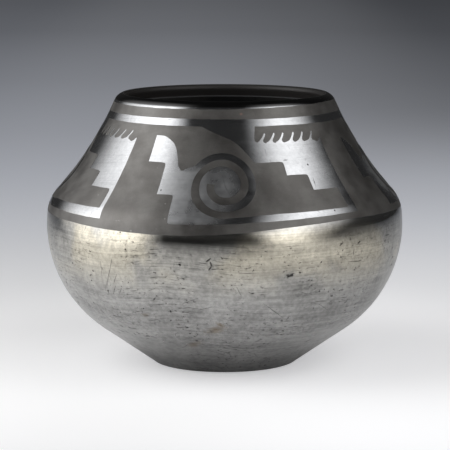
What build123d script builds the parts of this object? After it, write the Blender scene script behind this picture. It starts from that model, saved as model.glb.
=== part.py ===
from build123d import *

import math
import os
from dataclasses import dataclass

# A coil-built, burnished and matte-painted pottery jar. It stands on its flat base: the origin is the middle
# of that base, +Z is up, and the spiral that faces the viewer is on the -Y side.
# Lengths are in millimetres and angles in degrees. An angle round the jar is 0 at -Y and grows towards +X.
# An angle across the wall is that of the outward normal above level: 0 is the widest ring, and a quarter turn
# down is the foot.
full_turn = 360.0
half_turn = 180.0
quarter_turn = 90.0

# Overall form: the burnished outer surface
jar_height = 159.2
belly_radius = 105.0
belly_height_share = 0.5182
belly_height = jar_height * belly_height_share
foot_contact_radius = 40.4
lip_centre_radius = 61.0

# How the form curves: foot edge, belly, shoulder and the hollow neck. The belly's curve, carried on round to a
# full circle, would clear the ground by its own rise.
foot_edge_radius = 4.0
belly_circle_rise = 9.0
belly_curve_radius = belly_height - belly_circle_rise
shoulder_curve_radius = 23.0
neck_curve_radius = 206.0
shoulder_start_angle = 5.3

# Clay wall
wall_thickness = 6.0
floor_thickness = 8.0
floor_corner_radius = 9.0
lap_drop = 5.0
lip_flat_count = 4

# Where each course starts, as a share of the height from the foot to the widest ring, or from there to the crest
lower_course_names = ("lower_wall_coil_1", "lower_wall_coil_2", "belly_coil_1", "belly_coil_2")
lower_joint_shares = (0.206, 0.4, 0.606, 0.812)
upper_course_names = ("shoulder_coil", "neck_coil_1", "neck_coil_2", "neck_coil_3", "rim_coil")
upper_joint_shares = (0.02, 0.241, 0.424, 0.606, 0.789)

# Slip coat: its thickness, how far it runs down inside the lip, and where it stops on the foot's edge
slip_thickness = 0.45
slip_return = 7.0
slip_foot_angle = -62.0

# Matte paint: its layer, the lines round the jar, and how far they lie below the crest or above the widest ring
paint_clearance = 0.05
paint_thickness = 0.25
rim_line_drop = 4.4
rim_line_width = 5.1
band_drop = 13.6
shoulder_line_rise = 7.7
shoulder_line_width = 4.5

# The painted design repeats round the neck. Its outlines are pairs of an angle from the middle of the repeat's
# spiral, and a share of the band's height.
repeat_names = ("front", "right", "back", "left")
repeat_angle = full_turn / len(repeat_names)
band_reach_share = 0.15
corner_turn_angle = 1.6
corner_turn_share = 0.032
corner_pull_share = 0.6

# Fringed bar: hanging tabs between slanted slits
fringe_left_angle = 13.4
fringe_tab_count = 7
fringe_pitch_angle = 5.05
fringe_first_slit_angle = 15.3
fringe_slant_angle = 2.3
slit_half_angle = 0.38
tab_shoulder_angle = 1.05
slit_top_share = 0.925
slit_cap_share = 0.75
tab_shoulder_share = 0.865
tab_tip_share = 0.822

# Stepped terrace on the spiral's right: its corners, from the wave down to the band below
terrace_corner_shares = (
    (24.0, 0.622),
    (24.0, 0.483),
    (33.0, 0.483),
    (33.0, 0.323),
    (44.0, 0.323),
    (44.0, 0.124),
)
terrace_foot_shares = ((17.0, 0.108), (11.0, 0.095), (5.5, 0.083))

# Outer edge of the wave, from the top of the band over the spiral to the terrace
wave_edge_shares = ((-11.0, 1.0), (-3.0, 0.918), (3.5, 0.848), (8.0, 0.75), (12.0, 0.622))

# Round matte notch between the hook and the spiral
notch_shares = ((-15.0, 0.56), (-16.8, 0.54), (-18.2, 0.573))

# Spiral: its middle, its reach across and up, and the rest as shares of that reach
spiral_angle = -0.3
spiral_height_share = 0.397
spiral_reach_angle = 11.6
spiral_reach_share = 0.295
spiral_spacing_share = 0.474
spiral_band_width_share = 0.242
spiral_start_angle = -89.0
spiral_mouth_turns = 0.65
spiral_turns = 1.27
spiral_points_per_turn = 14

# Sides of the tool that cuts a painted outline out of the paint layer, as shares of the belly's radius
cutter_near_share = 0.3
cutter_far_share = 1.1
sector_margin_angle = 0.4


@dataclass(frozen=True)
class Hook:
    """The polished hook left of a spiral: the hand that paints it varies it from repeat to repeat."""

    left_angle: float
    top_share: float
    step_shares: tuple
    arc_shares: tuple


pillar_left_angle = -42.7
usual_hook = Hook(
    left_angle=-32.0,
    top_share=0.892,
    step_shares=((-24.0, 0.618), (-17.9, 0.295)),
    arc_shares=((-18.6, 0.6), (-19.5, 0.674), (-20.7, 0.752), (-22.3, 0.812), (-24.7, 0.857), (-27.7, 0.888)),
)
narrow_hook = Hook(
    left_angle=-27.0,
    top_share=0.81,
    step_shares=((-21.0, 0.375),),
    arc_shares=((-18.7, 0.596), (-19.6, 0.655), (-20.9, 0.715), (-22.6, 0.763), (-24.6, 0.797)),
)
hooks = {"front": usual_hook, "right": narrow_hook, "back": usual_hook, "left": usual_hook}


@dataclass(frozen=True)
class Arc:
    """A round stretch of the outline, from one normal angle to another; a hollow one has a negative radius."""

    centre_radius: float
    centre_height: float
    radius: float
    start: float
    end: float

    def at(self, angle, offset=0.0):
        """The point (radius, height) at a normal angle, moved outwards by offset."""
        reach = self.radius + offset
        turn = math.radians(angle)
        return (self.centre_radius + reach * math.cos(turn), self.centre_height + reach * math.sin(turn))

    def angle_at(self, height):
        """The normal angle where the stretch crosses a height."""
        return math.degrees(math.asin((height - self.centre_height) / self.radius))


def outline_arcs():
    """The round stretches from the foot up: foot edge, belly, shoulder, neck and lip, each tangent to the next."""
    lip_radius = wall_thickness / 2
    lip_height = jar_height - lip_radius
    belly_centre = belly_radius - belly_curve_radius

    # The lower wall is a straight cone that touches the foot's edge and the belly
    out = belly_centre - foot_contact_radius
    up = belly_height - foot_edge_radius
    between = math.hypot(out, up)
    lean = math.degrees(math.acos((foot_edge_radius - belly_curve_radius) / between))
    flare = math.degrees(math.atan2(up, out)) - lean

    # The shoulder turns inside the belly's curve
    turn = math.radians(shoulder_start_angle)
    inside = belly_curve_radius - shoulder_curve_radius
    shoulder_radius = belly_centre + inside * math.cos(turn)
    shoulder_height = belly_height + inside * math.sin(turn)

    # The neck's centre lies outside the jar, one neck radius from both the shoulder and the lip
    to_shoulder = shoulder_curve_radius + neck_curve_radius
    to_lip = lip_radius + neck_curve_radius
    out = lip_centre_radius - shoulder_radius
    up = lip_height - shoulder_height
    between = math.hypot(out, up)
    along = (to_shoulder**2 - to_lip**2 + between**2) / (2 * between)
    aside = math.sqrt(to_shoulder**2 - along**2)
    neck_radius = shoulder_radius + (along * out + aside * up) / between
    neck_height = shoulder_height + (along * up - aside * out) / between
    neck_start = math.degrees(math.atan2(neck_height - shoulder_height, neck_radius - shoulder_radius))
    neck_end = math.degrees(math.atan2(neck_height - lip_height, neck_radius - lip_centre_radius))

    foot = Arc(foot_contact_radius, foot_edge_radius, foot_edge_radius, -quarter_turn, flare)
    belly = Arc(belly_centre, belly_height, belly_curve_radius, flare, shoulder_start_angle)
    shoulder = Arc(shoulder_radius, shoulder_height, shoulder_curve_radius, shoulder_start_angle, neck_start)
    neck = Arc(neck_radius, neck_height, -neck_curve_radius, neck_start, neck_end)
    lip = Arc(lip_centre_radius, lip_height, lip_radius, neck_end, neck_end + half_turn)
    return foot, belly, shoulder, neck, lip


foot_arc, belly_arc, shoulder_arc, neck_arc, lip_arc = outline_arcs()

joint_heights = {}
for name, share in zip(lower_course_names, lower_joint_shares):
    joint_heights[name] = share * belly_height
for name, share in zip(upper_course_names, upper_joint_shares):
    joint_heights[name] = belly_height + share * (jar_height - belly_height)

rim_line_high = jar_height - rim_line_drop
rim_line_low = rim_line_high - rim_line_width
band_high = jar_height - band_drop
shoulder_line_low = belly_height + shoulder_line_rise
band_low = shoulder_line_low + shoulder_line_width


def surface_at(height, offset=0.0):
    """The point (radius, height) and the normal angle of the outer surface at a height below the lip."""
    cone_low = foot_arc.at(foot_arc.end)[1]
    cone_high = belly_arc.at(belly_arc.start)[1]
    if cone_low < height < cone_high:
        low_radius, low_height = foot_arc.at(foot_arc.end, offset)
        high_radius, high_height = belly_arc.at(belly_arc.start, offset)
        share = (height - cone_low) / (cone_high - cone_low)
        across = low_radius + share * (high_radius - low_radius)
        return (across, low_height + share * (high_height - low_height)), belly_arc.start
    for arc in (foot_arc, belly_arc, shoulder_arc, neck_arc):
        if height <= arc.at(arc.end)[1]:
            angle = arc.angle_at(height)
            return arc.at(angle, offset), angle
    raise ValueError(f"height {height} is on the lip")


def outer_points(low, high):
    """Points where the clay's outer face bends, under the slip, between two heights."""
    middle = (low + high) / 2
    return [surface_at(height, -slip_thickness)[0] for height in (low, middle, high)]


def inner_points(low, high):
    """Points of the scraped inner face of a course whose outer face lies between two heights."""
    return [surface_at(height - lap_drop, -wall_thickness)[0] for height in (high, low)]


def lip_points(radius):
    """Points round the lip's end, from outside to inside, on a circle about the lip's centre."""
    sweep = lip_arc.end - lip_arc.start
    angles = [lip_arc.start + sweep * step / lip_flat_count for step in range(lip_flat_count + 1)]
    return [lip_arc.at(angle, radius - lip_arc.radius) for angle in angles]


def in_section(point):
    """A point (radius, height) of the section as a vector in the XZ plane."""
    return Vector(point[0], 0, point[1])


def straight_edges(points):
    """Edges that join points of the section one after another."""
    return [Edge.make_line(in_section(a), in_section(b)) for a, b in zip(points, points[1:])]


def arc_edge(arc, start, end, offset=0.0):
    """The edge of one round stretch between two normal angles, moved outwards by offset."""
    points = [arc.at(angle, offset) for angle in (start, (start + end) / 2, end)]
    return Edge.make_three_point_arc(*[in_section(point) for point in points])


def turned(edges, sweep=full_turn, middle=0.0):
    """The solid that a closed section makes when it is turned about the jar's axis, centred on an angle."""
    start = middle - quarter_turn - sweep / 2
    section = Face(Wire(edges)).rotate(Axis.Z, start)
    return revolve(section, Axis.Z, sweep)


def base():
    """The moulded base: the floor, the rounded foot edge and the start of the wall."""
    first_joint = joint_heights["lower_wall_coil_1"]
    rebate = [foot_arc.at(slip_foot_angle), foot_arc.at(slip_foot_angle, -slip_thickness)]
    outside = [surface_at(height, -slip_thickness)[0] for height in (first_joint / 2, first_joint)]
    wall_inside = surface_at(first_joint - lap_drop, -wall_thickness)[0]

    # The inner wall is parallel to the outer cone; a round corner joins it to the flat floor
    lean = math.radians(belly_arc.start)
    corner_height = floor_thickness + floor_corner_radius
    rise = corner_height - wall_inside[1]
    corner_centre_radius = wall_inside[0] - (floor_corner_radius + rise * math.sin(lean)) / math.cos(lean)
    corner = Arc(corner_centre_radius, corner_height, floor_corner_radius, -quarter_turn, belly_arc.start)
    edges = straight_edges([(0.0, floor_thickness), (0.0, 0.0), foot_arc.at(foot_arc.start)])
    edges.append(arc_edge(foot_arc, foot_arc.start, slip_foot_angle))
    edges += straight_edges([*rebate, *outside, wall_inside, corner.at(corner.end)])
    edges.append(arc_edge(corner, corner.end, corner.start))
    edges += straight_edges([corner.at(corner.start), (0.0, floor_thickness)])
    return turned(edges)


def course(low, high):
    """One clay course between two laps: the laps slope down to the inside, so each course backs the next."""
    corners = [*outer_points(low, high), *inner_points(low, high)]
    return turned(straight_edges([*corners, corners[0]]))


def rim(low):
    """The rim course: its end is rounded over, and its inner face steps out to the slip that runs down it."""
    under_lip = lip_points(lip_arc.radius - slip_thickness)
    slip_end = slip_end_angle()
    corners = [
        surface_at(low, -slip_thickness)[0],
        *under_lip,
        neck_arc.at(slip_end, slip_thickness - wall_thickness),
        neck_arc.at(slip_end, -wall_thickness),
        inner_points(low, low)[0],
    ]
    return turned(straight_edges([*corners, corners[0]]))


def slip_end_angle():
    """The normal angle of the neck where the slip ends inside the mouth."""
    return neck_arc.angle_at(neck_arc.at(neck_arc.end)[1] - slip_return)


def slip():
    """The burnished slip coat: smooth outside, and lying on the flats of the clay courses inside."""
    heights = list(joint_heights.values())
    slip_end = slip_end_angle()
    edges = [arc_edge(foot_arc, slip_foot_angle, foot_arc.end)]
    edges += straight_edges([foot_arc.at(foot_arc.end), belly_arc.at(belly_arc.start)])
    edges += [arc_edge(arc, arc.start, arc.end) for arc in (belly_arc, shoulder_arc, neck_arc, lip_arc)]
    edges.append(arc_edge(neck_arc, neck_arc.end, slip_end, -wall_thickness))
    hidden = [neck_arc.at(slip_end, -wall_thickness), neck_arc.at(slip_end, slip_thickness - wall_thickness)]
    hidden += reversed(lip_points(lip_arc.radius - slip_thickness))
    hidden.append(surface_at(heights[-1], -slip_thickness)[0])
    for low, high in reversed(list(zip(heights, heights[1:]))):
        hidden += reversed(outer_points(low, high)[:-1])
    hidden += [surface_at(heights[0] / 2, -slip_thickness)[0], foot_arc.at(slip_foot_angle, -slip_thickness)]
    hidden.append(foot_arc.at(slip_foot_angle))
    return turned(edges + straight_edges(hidden))


def paint_section(low, high):
    """The closed section of a paint layer that lies on the slip between two heights of shoulder and neck."""
    stretches = []
    for arc in (shoulder_arc, neck_arc):
        arc_low = arc.at(arc.start)[1]
        arc_high = arc.at(arc.end)[1]
        if low < arc_high and high > arc_low:
            stretches.append((arc, arc.angle_at(max(low, arc_low)), arc.angle_at(min(high, arc_high))))
    face = paint_clearance + paint_thickness
    outer = [arc_edge(arc, start, end, face) for arc, start, end in stretches]
    inner = [arc_edge(arc, start, end, paint_clearance) for arc, start, end in stretches]
    bottom, start, _ = stretches[0]
    top, _, end = stretches[-1]
    ends = straight_edges([bottom.at(start, paint_clearance), bottom.at(start, face)])
    ends += straight_edges([top.at(end, face), top.at(end, paint_clearance)])
    return [*outer, *inner, *ends]


def band_point(place):
    """A point of the design, given as an angle and a share of the band's height, as an angle and a height."""
    angle, share = place
    return (angle, band_low + share * (band_high - band_low))


def rounded(before, corner, after):
    """Three points that cut a painted corner round, each an angle and a share of the band's height."""

    def towards(other):
        """A point a short way from the corner along one of its two sides, which are level or upright."""
        if abs(other[0] - corner[0]) > abs(other[1] - corner[1]):
            return (corner[0] + math.copysign(corner_turn_angle, other[0] - corner[0]), corner[1])
        return (corner[0], corner[1] + math.copysign(corner_turn_share, other[1] - corner[1]))

    start, end = towards(before), towards(after)
    halfway = [(start[i] + end[i]) / 2 for i in (0, 1)]
    middle = tuple(halfway[i] + corner_pull_share * (corner[i] - halfway[i]) for i in (0, 1))
    return [start, middle, end]


def on_plane(place, distance):
    """The point where the ray through an angle and a height meets the upright plane at a distance."""
    angle, height = place
    return Vector(distance * math.tan(math.radians(angle)), -distance, height)


def outline_face(stretches, distance):
    """A painted outline on one upright plane: stretches of two points are straight, longer ones curved."""
    edges = []
    for stretch in stretches:
        points = [on_plane(place, distance) for place in stretch]
        if len(points) == 2:
            edges.append(Edge.make_line(*points))
        else:
            edges.append(Edge.make_spline(points))
    return Face(Wire(edges))


def painted(stretches, middle):
    """The paint inside an outline: a sector of the paint layer, cut by walls that point at the jar's axis."""
    near = outline_face(stretches, belly_radius * cutter_near_share)
    far = outline_face(stretches, belly_radius * cutter_far_share)
    cutter = loft([near, far], ruled=True)
    angles = [place[0] for stretch in stretches for place in stretch]
    sweep = max(angles) - min(angles) + 2 * sector_margin_angle
    sector = turned(paint_section(band_low, band_high), sweep, (max(angles) + min(angles)) / 2)
    return (sector & cutter).rotate(Axis.Z, middle)


def joined(points):
    """Straight stretches from point to point."""
    return [[a, b] for a, b in zip(points, points[1:])]


def with_heights(stretches):
    """Stretches given in shares of the band, as angles and heights."""
    return [[band_point(place) for place in stretch] for stretch in stretches]


def fringe(middle):
    """A bar at the top of the band, with tabs that hang from it between slanted slits."""
    right = repeat_angle + pillar_left_angle
    top = 1.0 + band_reach_share
    stretches = joined([(fringe_left_angle, top), (fringe_left_angle, tab_shoulder_share)])
    left_side = fringe_left_angle
    for index in range(fringe_tab_count):
        slit = fringe_first_slit_angle + fringe_pitch_angle * index
        last = index == fringe_tab_count - 1
        right_side = right if last else slit - tab_shoulder_angle / 2
        tip = ((left_side + right_side) / 2, tab_tip_share)
        stretches.append([(left_side, tab_shoulder_share), tip, (right_side, tab_shoulder_share)])
        if last:
            break
        slit_top = slit + fringe_slant_angle
        narrow = tab_shoulder_share + (slit_top_share - tab_shoulder_share) * slit_cap_share
        left_side = slit + tab_shoulder_angle
        stretches.append([(right_side, tab_shoulder_share), (slit_top - slit_half_angle, narrow)])
        cap = [(slit_top - slit_half_angle, narrow), (slit_top, slit_top_share), (slit_top + slit_half_angle, narrow)]
        stretches.append(cap)
        stretches.append([(slit_top + slit_half_angle, narrow), (left_side, tab_shoulder_share)])
    stretches += joined([(right, tab_shoulder_share), (right, top), (fringe_left_angle, top)])
    return painted(with_heights(stretches), middle)


def pillar(middle, hook):
    """The upright pillar left of a hook, which widens downwards in rounded steps."""
    top = 1.0 + band_reach_share
    below = -band_reach_share
    inner = hook.left_angle
    stretches = joined([(pillar_left_angle, below), (pillar_left_angle, top), (inner, top)])
    here = (inner, top)
    for outer, share in hook.step_shares:
        notch = (here[0], share)
        corner = (outer, share)
        turn = rounded(notch, corner, (outer, below))
        stretches += joined([here, notch, turn[0]])
        stretches.append(turn)
        here = turn[2]
    stretches += joined([here, (here[0], below), (pillar_left_angle, below)])
    return painted(with_heights(stretches), middle)


def spiral_side(start, end, offset):
    """Points along one side of the spiral band, as angles and heights, from one turn count to another."""
    count = max(3, round(abs(end - start) * spiral_points_per_turn))
    points = []
    for step in range(count + 1):
        turns = start + (end - start) * step / count
        reach_share = 1.0 - spiral_spacing_share * turns + offset
        turn = math.radians(spiral_start_angle - full_turn * turns)
        angle = spiral_angle + spiral_reach_angle * reach_share * math.cos(turn)
        share = spiral_height_share + spiral_reach_share * reach_share * math.sin(turn)
        points.append(band_point((angle, share)))
    return points


def wave(middle, hook):
    """The wave over the hook, the spiral that it curls into, and the stepped terrace on its right."""
    top = 1.0 + band_reach_share
    half = spiral_band_width_share / 2
    stretches = with_heights(joined([(hook.left_angle, hook.top_share), (hook.left_angle, top)]))
    wave_top = (wave_edge_shares[0][0], top)
    stretches += with_heights(joined([(hook.left_angle, top), wave_top, wave_edge_shares[0]]))
    stretches.append([band_point(place) for place in wave_edge_shares])

    # Down the terrace: its outward corners are rounded, its inward ones are sharp
    here = wave_edge_shares[-1]
    corners = [*terrace_corner_shares, terrace_foot_shares[0]]
    for index in range(0, len(corners) - 2, 2):
        turn = rounded(here, corners[index], corners[index + 1])
        stretches += with_heights([[here, turn[0]], turn, [turn[2], corners[index + 1]]])
        here = corners[index + 1]
    stretches += with_heights([[here, terrace_foot_shares[0]]])

    # Round the outside of the spiral, in along its outer side, across its end, and back along its inner side
    outer = spiral_side(0.0, spiral_turns, half)
    inner = spiral_side(spiral_turns, -spiral_mouth_turns, -half)
    stretches.append([band_point(place) for place in terrace_foot_shares] + [outer[0]])
    stretches.append(outer)
    stretches.append([outer[-1], inner[0]])
    stretches.append(inner)
    hook_edge = [band_point(place) for place in (*hook.arc_shares, (hook.left_angle, hook.top_share))]
    notch = [band_point(place) for place in notch_shares]
    stretches.append([inner[-1], *notch])
    stretches.append([notch[-1], *hook_edge])
    return painted(stretches, middle)


def make_nodes():
    """Every piece of the jar by name."""
    names = list(joint_heights)
    heights = list(joint_heights.values())
    nodes = {"moulded_base": base()}
    for name, low, high in zip(names, heights, heights[1:]):
        nodes[name] = course(low, high)
    nodes[names[-1]] = rim(heights[-1])
    nodes["burnished_slip"] = slip()
    nodes["rim_line"] = turned(paint_section(rim_line_low, rim_line_high))
    nodes["shoulder_line"] = turned(paint_section(shoulder_line_low, band_low))
    for index, name in enumerate(repeat_names):
        middle = repeat_angle * index
        hook = hooks[name]
        nodes[f"{name}_fringe"] = fringe(middle)
        nodes[f"{name}_pillar"] = pillar(middle, hook)
        nodes[f"{name}_wave"] = wave(middle, hook)
    return nodes


def main():
    """Write one file for each piece."""
    os.makedirs("parts", exist_ok=True)
    for name, shape in make_nodes().items():
        solids = shape.solids()
        volume = sum(solid.volume for solid in solids)
        print(f"{name}: {len(solids)} solid, {volume:.0f} cubic mm")
        export_step(Compound(children=list(solids)) if len(solids) > 1 else solids[0], f"parts/{name}.step")


main()
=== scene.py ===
"""Dresses the coil-built pottery jar: scraped clay, a burnished slip coat and matte painted ornament."""
import logging
import math
from collections.abc import Callable, Sequence
from dataclasses import dataclass, field
from enum import Enum
from functools import cached_property
from typing import Union

import bmesh
import bpy
import numpy as np
from mathutils import Matrix, Vector, geometry, noise


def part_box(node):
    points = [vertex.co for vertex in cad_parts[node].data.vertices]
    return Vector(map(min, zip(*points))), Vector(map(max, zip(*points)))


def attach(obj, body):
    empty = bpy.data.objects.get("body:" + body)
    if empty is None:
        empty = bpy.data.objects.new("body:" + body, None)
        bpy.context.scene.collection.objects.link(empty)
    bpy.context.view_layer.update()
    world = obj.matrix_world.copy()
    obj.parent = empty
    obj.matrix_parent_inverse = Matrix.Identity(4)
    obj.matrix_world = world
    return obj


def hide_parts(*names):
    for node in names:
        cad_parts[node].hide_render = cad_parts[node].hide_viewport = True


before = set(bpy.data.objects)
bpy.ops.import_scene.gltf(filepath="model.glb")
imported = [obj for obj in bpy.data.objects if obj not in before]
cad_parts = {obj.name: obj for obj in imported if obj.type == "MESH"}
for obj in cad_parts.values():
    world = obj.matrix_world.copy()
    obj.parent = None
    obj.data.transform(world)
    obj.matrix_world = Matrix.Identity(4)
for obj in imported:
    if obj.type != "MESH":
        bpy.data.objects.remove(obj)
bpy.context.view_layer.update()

log = logging.getLogger("jar")

Place = tuple[float, float]
Wave = tuple[float, int, float, float]
Depth = Callable[[np.ndarray, np.ndarray], np.ndarray]
Colour = tuple[float, float, float]
Input = Union["Value", bpy.types.NodeSocket, float, Colour]

# Where a ramp starts and ends, and then what it gives there if that isn't 0 and 1
Span = tuple[float, ...]

# An angle round the jar is in degrees, 0 at -Y and growing towards +X. An angle across the wall is that of
# the outward normal above level. Lengths are in metres unless a name says mm.
MM = 0.001
FULL_TURN = 360.0
HALF_TURN = 180.0
QUARTER_TURN = 90.0
SHARP_ANGLE = 38.0
NO_LENGTH = 1e-9
FLAT_LENGTH = 1e-8
AXIS_LENGTH = 1e-7
WELD_LENGTH = 1e-6
WELD_MM = 1e-6
RAGGED_SCALE = 900.0

# Waves round the jar and up it: share of the depth, how many go round, where they start, rise per metre
HAND_WAVES = (
    (0.30, 2, 0.7, 9), (0.22, 3, -1.1, 31), (0.16, 5, 2.3, -57), (0.12, 8, 0.4, 118), (0.09, 12, -2.0, -171),
    (0.07, 17, 1.6, 259), (0.04, 2, -0.9, 640),
)
SCRAPER_WAVES = ((0.34, 3, 0.0, 190), (0.30, 7, -1.3, -330), (0.20, 4, 2.2, 910), (0.16, 13, 0.5, 410))


class Slot(Enum):
    """The record's material slots."""

    CLAY = "clay"
    SLIP = "burnished_slip"
    PAINT = "matte_paint"


class Side(Enum):
    """The four repeats of the painted design, in turns of a quarter from the front."""

    FRONT = 0
    RIGHT = 1
    BACK = 2
    LEFT = 3

    @property
    def middle(self) -> float:
        """The angle of the middle of the repeat's spiral."""
        return QUARTER_TURN * self.value

    @property
    def word(self) -> str:
        """The side's name as the nodes' names start with it."""
        return self.name.lower()


class MarkKind(Enum):
    """What a small mark on the burnished surface is: how ragged its edge is, and how much of it is solid."""

    SCRATCH = (0.75, 0.1)
    PIT = (1.2, 0.5)
    STAIN = (1.05, -0.3)
    HAZE = (0.12, 0.45)


def along(start: Place, end: Place, share: float) -> Place:
    """Returns the place that lies a share of the way from one place to another."""
    return tuple(start[i] + share * (end[i] - start[i]) for i in (0, 1))


def wavy(waves: Sequence[Wave], angles: np.ndarray, heights: np.ndarray) -> np.ndarray:
    """Returns the sum of the waves at places given by angles in degrees and heights."""
    turn = np.radians(angles)
    return sum(share * np.cos(count * turn + start + rise * heights) for share, count, start, rise in waves)


def around(angles: np.ndarray, radii: np.ndarray, heights: np.ndarray) -> np.ndarray:
    """Returns the points at angles in degrees, distances from the jar's axis and heights."""
    turn = np.radians(angles)
    return np.stack([radii * np.sin(turn), -radii * np.cos(turn), heights], axis=-1)


@dataclass(frozen=True)
class Arc:
    """A round stretch of the outline between two normal angles; a hollow one has a negative radius."""

    centre_radius: float
    centre_height: float
    radius: float
    start: float
    end: float

    def at(self, angle: float, offset: float = 0.0) -> Place:
        """Finds a point of the stretch.

        Args:
            angle: The normal angle, in degrees.
            offset: How far outwards from the stretch the point lies.

        Returns:
            The point's radius and height.
        """
        reach = self.radius + offset
        turn = math.radians(angle)
        return (self.centre_radius + reach * math.cos(turn), self.centre_height + reach * math.sin(turn))

    def angle_at(self, height: float) -> float:
        """Returns the normal angle where the stretch crosses a height."""
        return math.degrees(math.asin((height - self.centre_height) / self.radius))


@dataclass(frozen=True)
class JarForm:
    """The jar's outline: foot edge, straight lower wall, belly, shoulder, hollow neck and lip."""

    height: float
    belly_radius: float
    belly_height_share: float = 0.5182
    foot_contact_radius: float = 0.0404
    lip_centre_radius: float = 0.061
    foot_edge_radius: float = 0.004
    belly_circle_rise: float = 0.009
    shoulder_curve_radius: float = 0.023
    neck_curve_radius: float = 0.206
    shoulder_start: float = 5.3
    wall: float = 0.006
    slip: float = 0.00045
    bevel_radius: float = 0.0069
    bevel_drop: float = 0.0039
    bevel_end: float = 70.0
    crest_radius: float = 0.0024
    hand_depth: float = 0.00022

    @property
    def belly_height(self) -> float:
        """The height of the widest ring."""
        return self.height * self.belly_height_share

    @cached_property
    def arcs(self) -> dict[str, Arc]:
        """Works out the round stretches from the foot up, each tangent to the next.

        Returns:
            The stretches by name.
        """
        curve = self.belly_height - self.belly_circle_rise
        lip_radius = self.wall / 2
        lip_height = self.height - lip_radius
        belly_centre = self.belly_radius - curve

        out = belly_centre - self.foot_contact_radius
        up = self.belly_height - self.foot_edge_radius
        between = math.hypot(out, up)
        lean = math.degrees(math.acos((self.foot_edge_radius - curve) / between))
        flare = math.degrees(math.atan2(up, out)) - lean

        turn = math.radians(self.shoulder_start)
        inside = curve - self.shoulder_curve_radius
        shoulder_radius = belly_centre + inside * math.cos(turn)
        shoulder_height = self.belly_height + inside * math.sin(turn)

        to_shoulder = self.shoulder_curve_radius + self.neck_curve_radius
        to_lip = lip_radius + self.neck_curve_radius
        out = self.lip_centre_radius - shoulder_radius
        up = lip_height - shoulder_height
        between = math.hypot(out, up)
        near = (to_shoulder**2 - to_lip**2 + between**2) / (2 * between)
        aside = math.sqrt(to_shoulder**2 - near**2)
        neck_radius = shoulder_radius + (near * out + aside * up) / between
        neck_height = shoulder_height + (near * up - aside * out) / between
        start = math.degrees(math.atan2(neck_height - shoulder_height, neck_radius - shoulder_radius))
        inner_end = math.degrees(math.atan2(neck_height - lip_height, neck_radius - self.lip_centre_radius))

        # The outer edge of the lip is rubbed to a slack bevel, which turns into a tighter crest
        inner = Arc(neck_radius, neck_height, -self.neck_curve_radius, start, inner_end)
        end = inner.angle_at(self.height - self.bevel_drop)
        neck = Arc(neck_radius, neck_height, -self.neck_curve_radius, start, end)
        bevel = Arc(*neck.at(end, -self.bevel_radius), self.bevel_radius, end, self.bevel_end)
        centre = bevel.at(self.bevel_end, -self.crest_radius)
        foot = (self.foot_contact_radius, self.foot_edge_radius, self.foot_edge_radius)
        shoulder = (shoulder_radius, shoulder_height, self.shoulder_curve_radius)
        return {
            "foot": Arc(*foot, -QUARTER_TURN, flare),
            "belly": Arc(belly_centre, self.belly_height, curve, flare, self.shoulder_start),
            "shoulder": Arc(*shoulder, self.shoulder_start, start),
            "neck": neck,
            "bevel": bevel,
            "crest": Arc(*centre, self.crest_radius, self.bevel_end, inner_end + HALF_TURN),
            "inner_neck": inner,
        }

    def surface(self, heights: np.ndarray) -> tuple[np.ndarray, np.ndarray]:
        """Finds the outer surface below the lip.

        Args:
            heights: Heights above the foot.

        Returns:
            The radius at each height, and the normal angle there in degrees.
        """
        arcs = self.arcs
        radii = np.zeros_like(heights)
        angles = np.zeros_like(heights)
        low = -1.0
        for name in ("foot", "belly", "shoulder", "neck", "bevel"):
            arc = arcs[name]
            high = arc.at(arc.end)[1]
            here = (heights > low) & (heights <= high + NO_LENGTH)
            turn = np.arcsin(np.clip((heights[here] - arc.centre_height) / arc.radius, -1.0, 1.0))
            radii[here] = arc.centre_radius + arc.radius * np.cos(turn)
            angles[here] = np.degrees(turn)
            low = high
        cone_low = arcs["foot"].at(arcs["foot"].end)
        cone_high = arcs["belly"].at(arcs["belly"].start)
        cone = (heights > cone_low[1]) & (heights < cone_high[1])
        share = (heights[cone] - cone_low[1]) / (cone_high[1] - cone_low[1])
        radii[cone] = cone_low[0] + share * (cone_high[0] - cone_low[0])
        angles[cone] = arcs["belly"].start
        return radii, angles

    def under(self, heights: Sequence[float], depth: float) -> list[tuple[Place, float]]:
        """Finds places under the outer surface.

        Args:
            heights: Heights of the surface above the foot.
            depth: How far inwards from it the places lie.

        Returns:
            Each place, with the surface's normal angle.
        """
        radii, normals = self.surface(np.array(heights))
        found = []
        for radius, height, normal in zip(radii, heights, normals):
            turn = math.radians(normal)
            found.append(((radius - depth * math.cos(turn), height - depth * math.sin(turn)), normal))
        return found

    def hand(self, angles: np.ndarray, heights: np.ndarray) -> np.ndarray:
        """Returns how far the maker's hand left the wall inside the true round, never outside it."""
        return self.hand_depth * (1.0 + wavy(HAND_WAVES, angles, heights)) / 2

    def points(self, angles: np.ndarray, heights: np.ndarray, offset: float) -> np.ndarray:
        """Places points on the hand-made outer surface.

        Args:
            angles: Angles round the jar, in degrees.
            heights: Heights above the foot.
            offset: How far outwards from the surface the points lie.

        Returns:
            The points, one row of x, y and z each.
        """
        radii, normals = self.surface(heights)
        out = offset - self.hand(angles, heights)
        lean = np.radians(normals)
        return around(angles, radii + out * np.cos(lean), heights + out * np.sin(lean))


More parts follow.
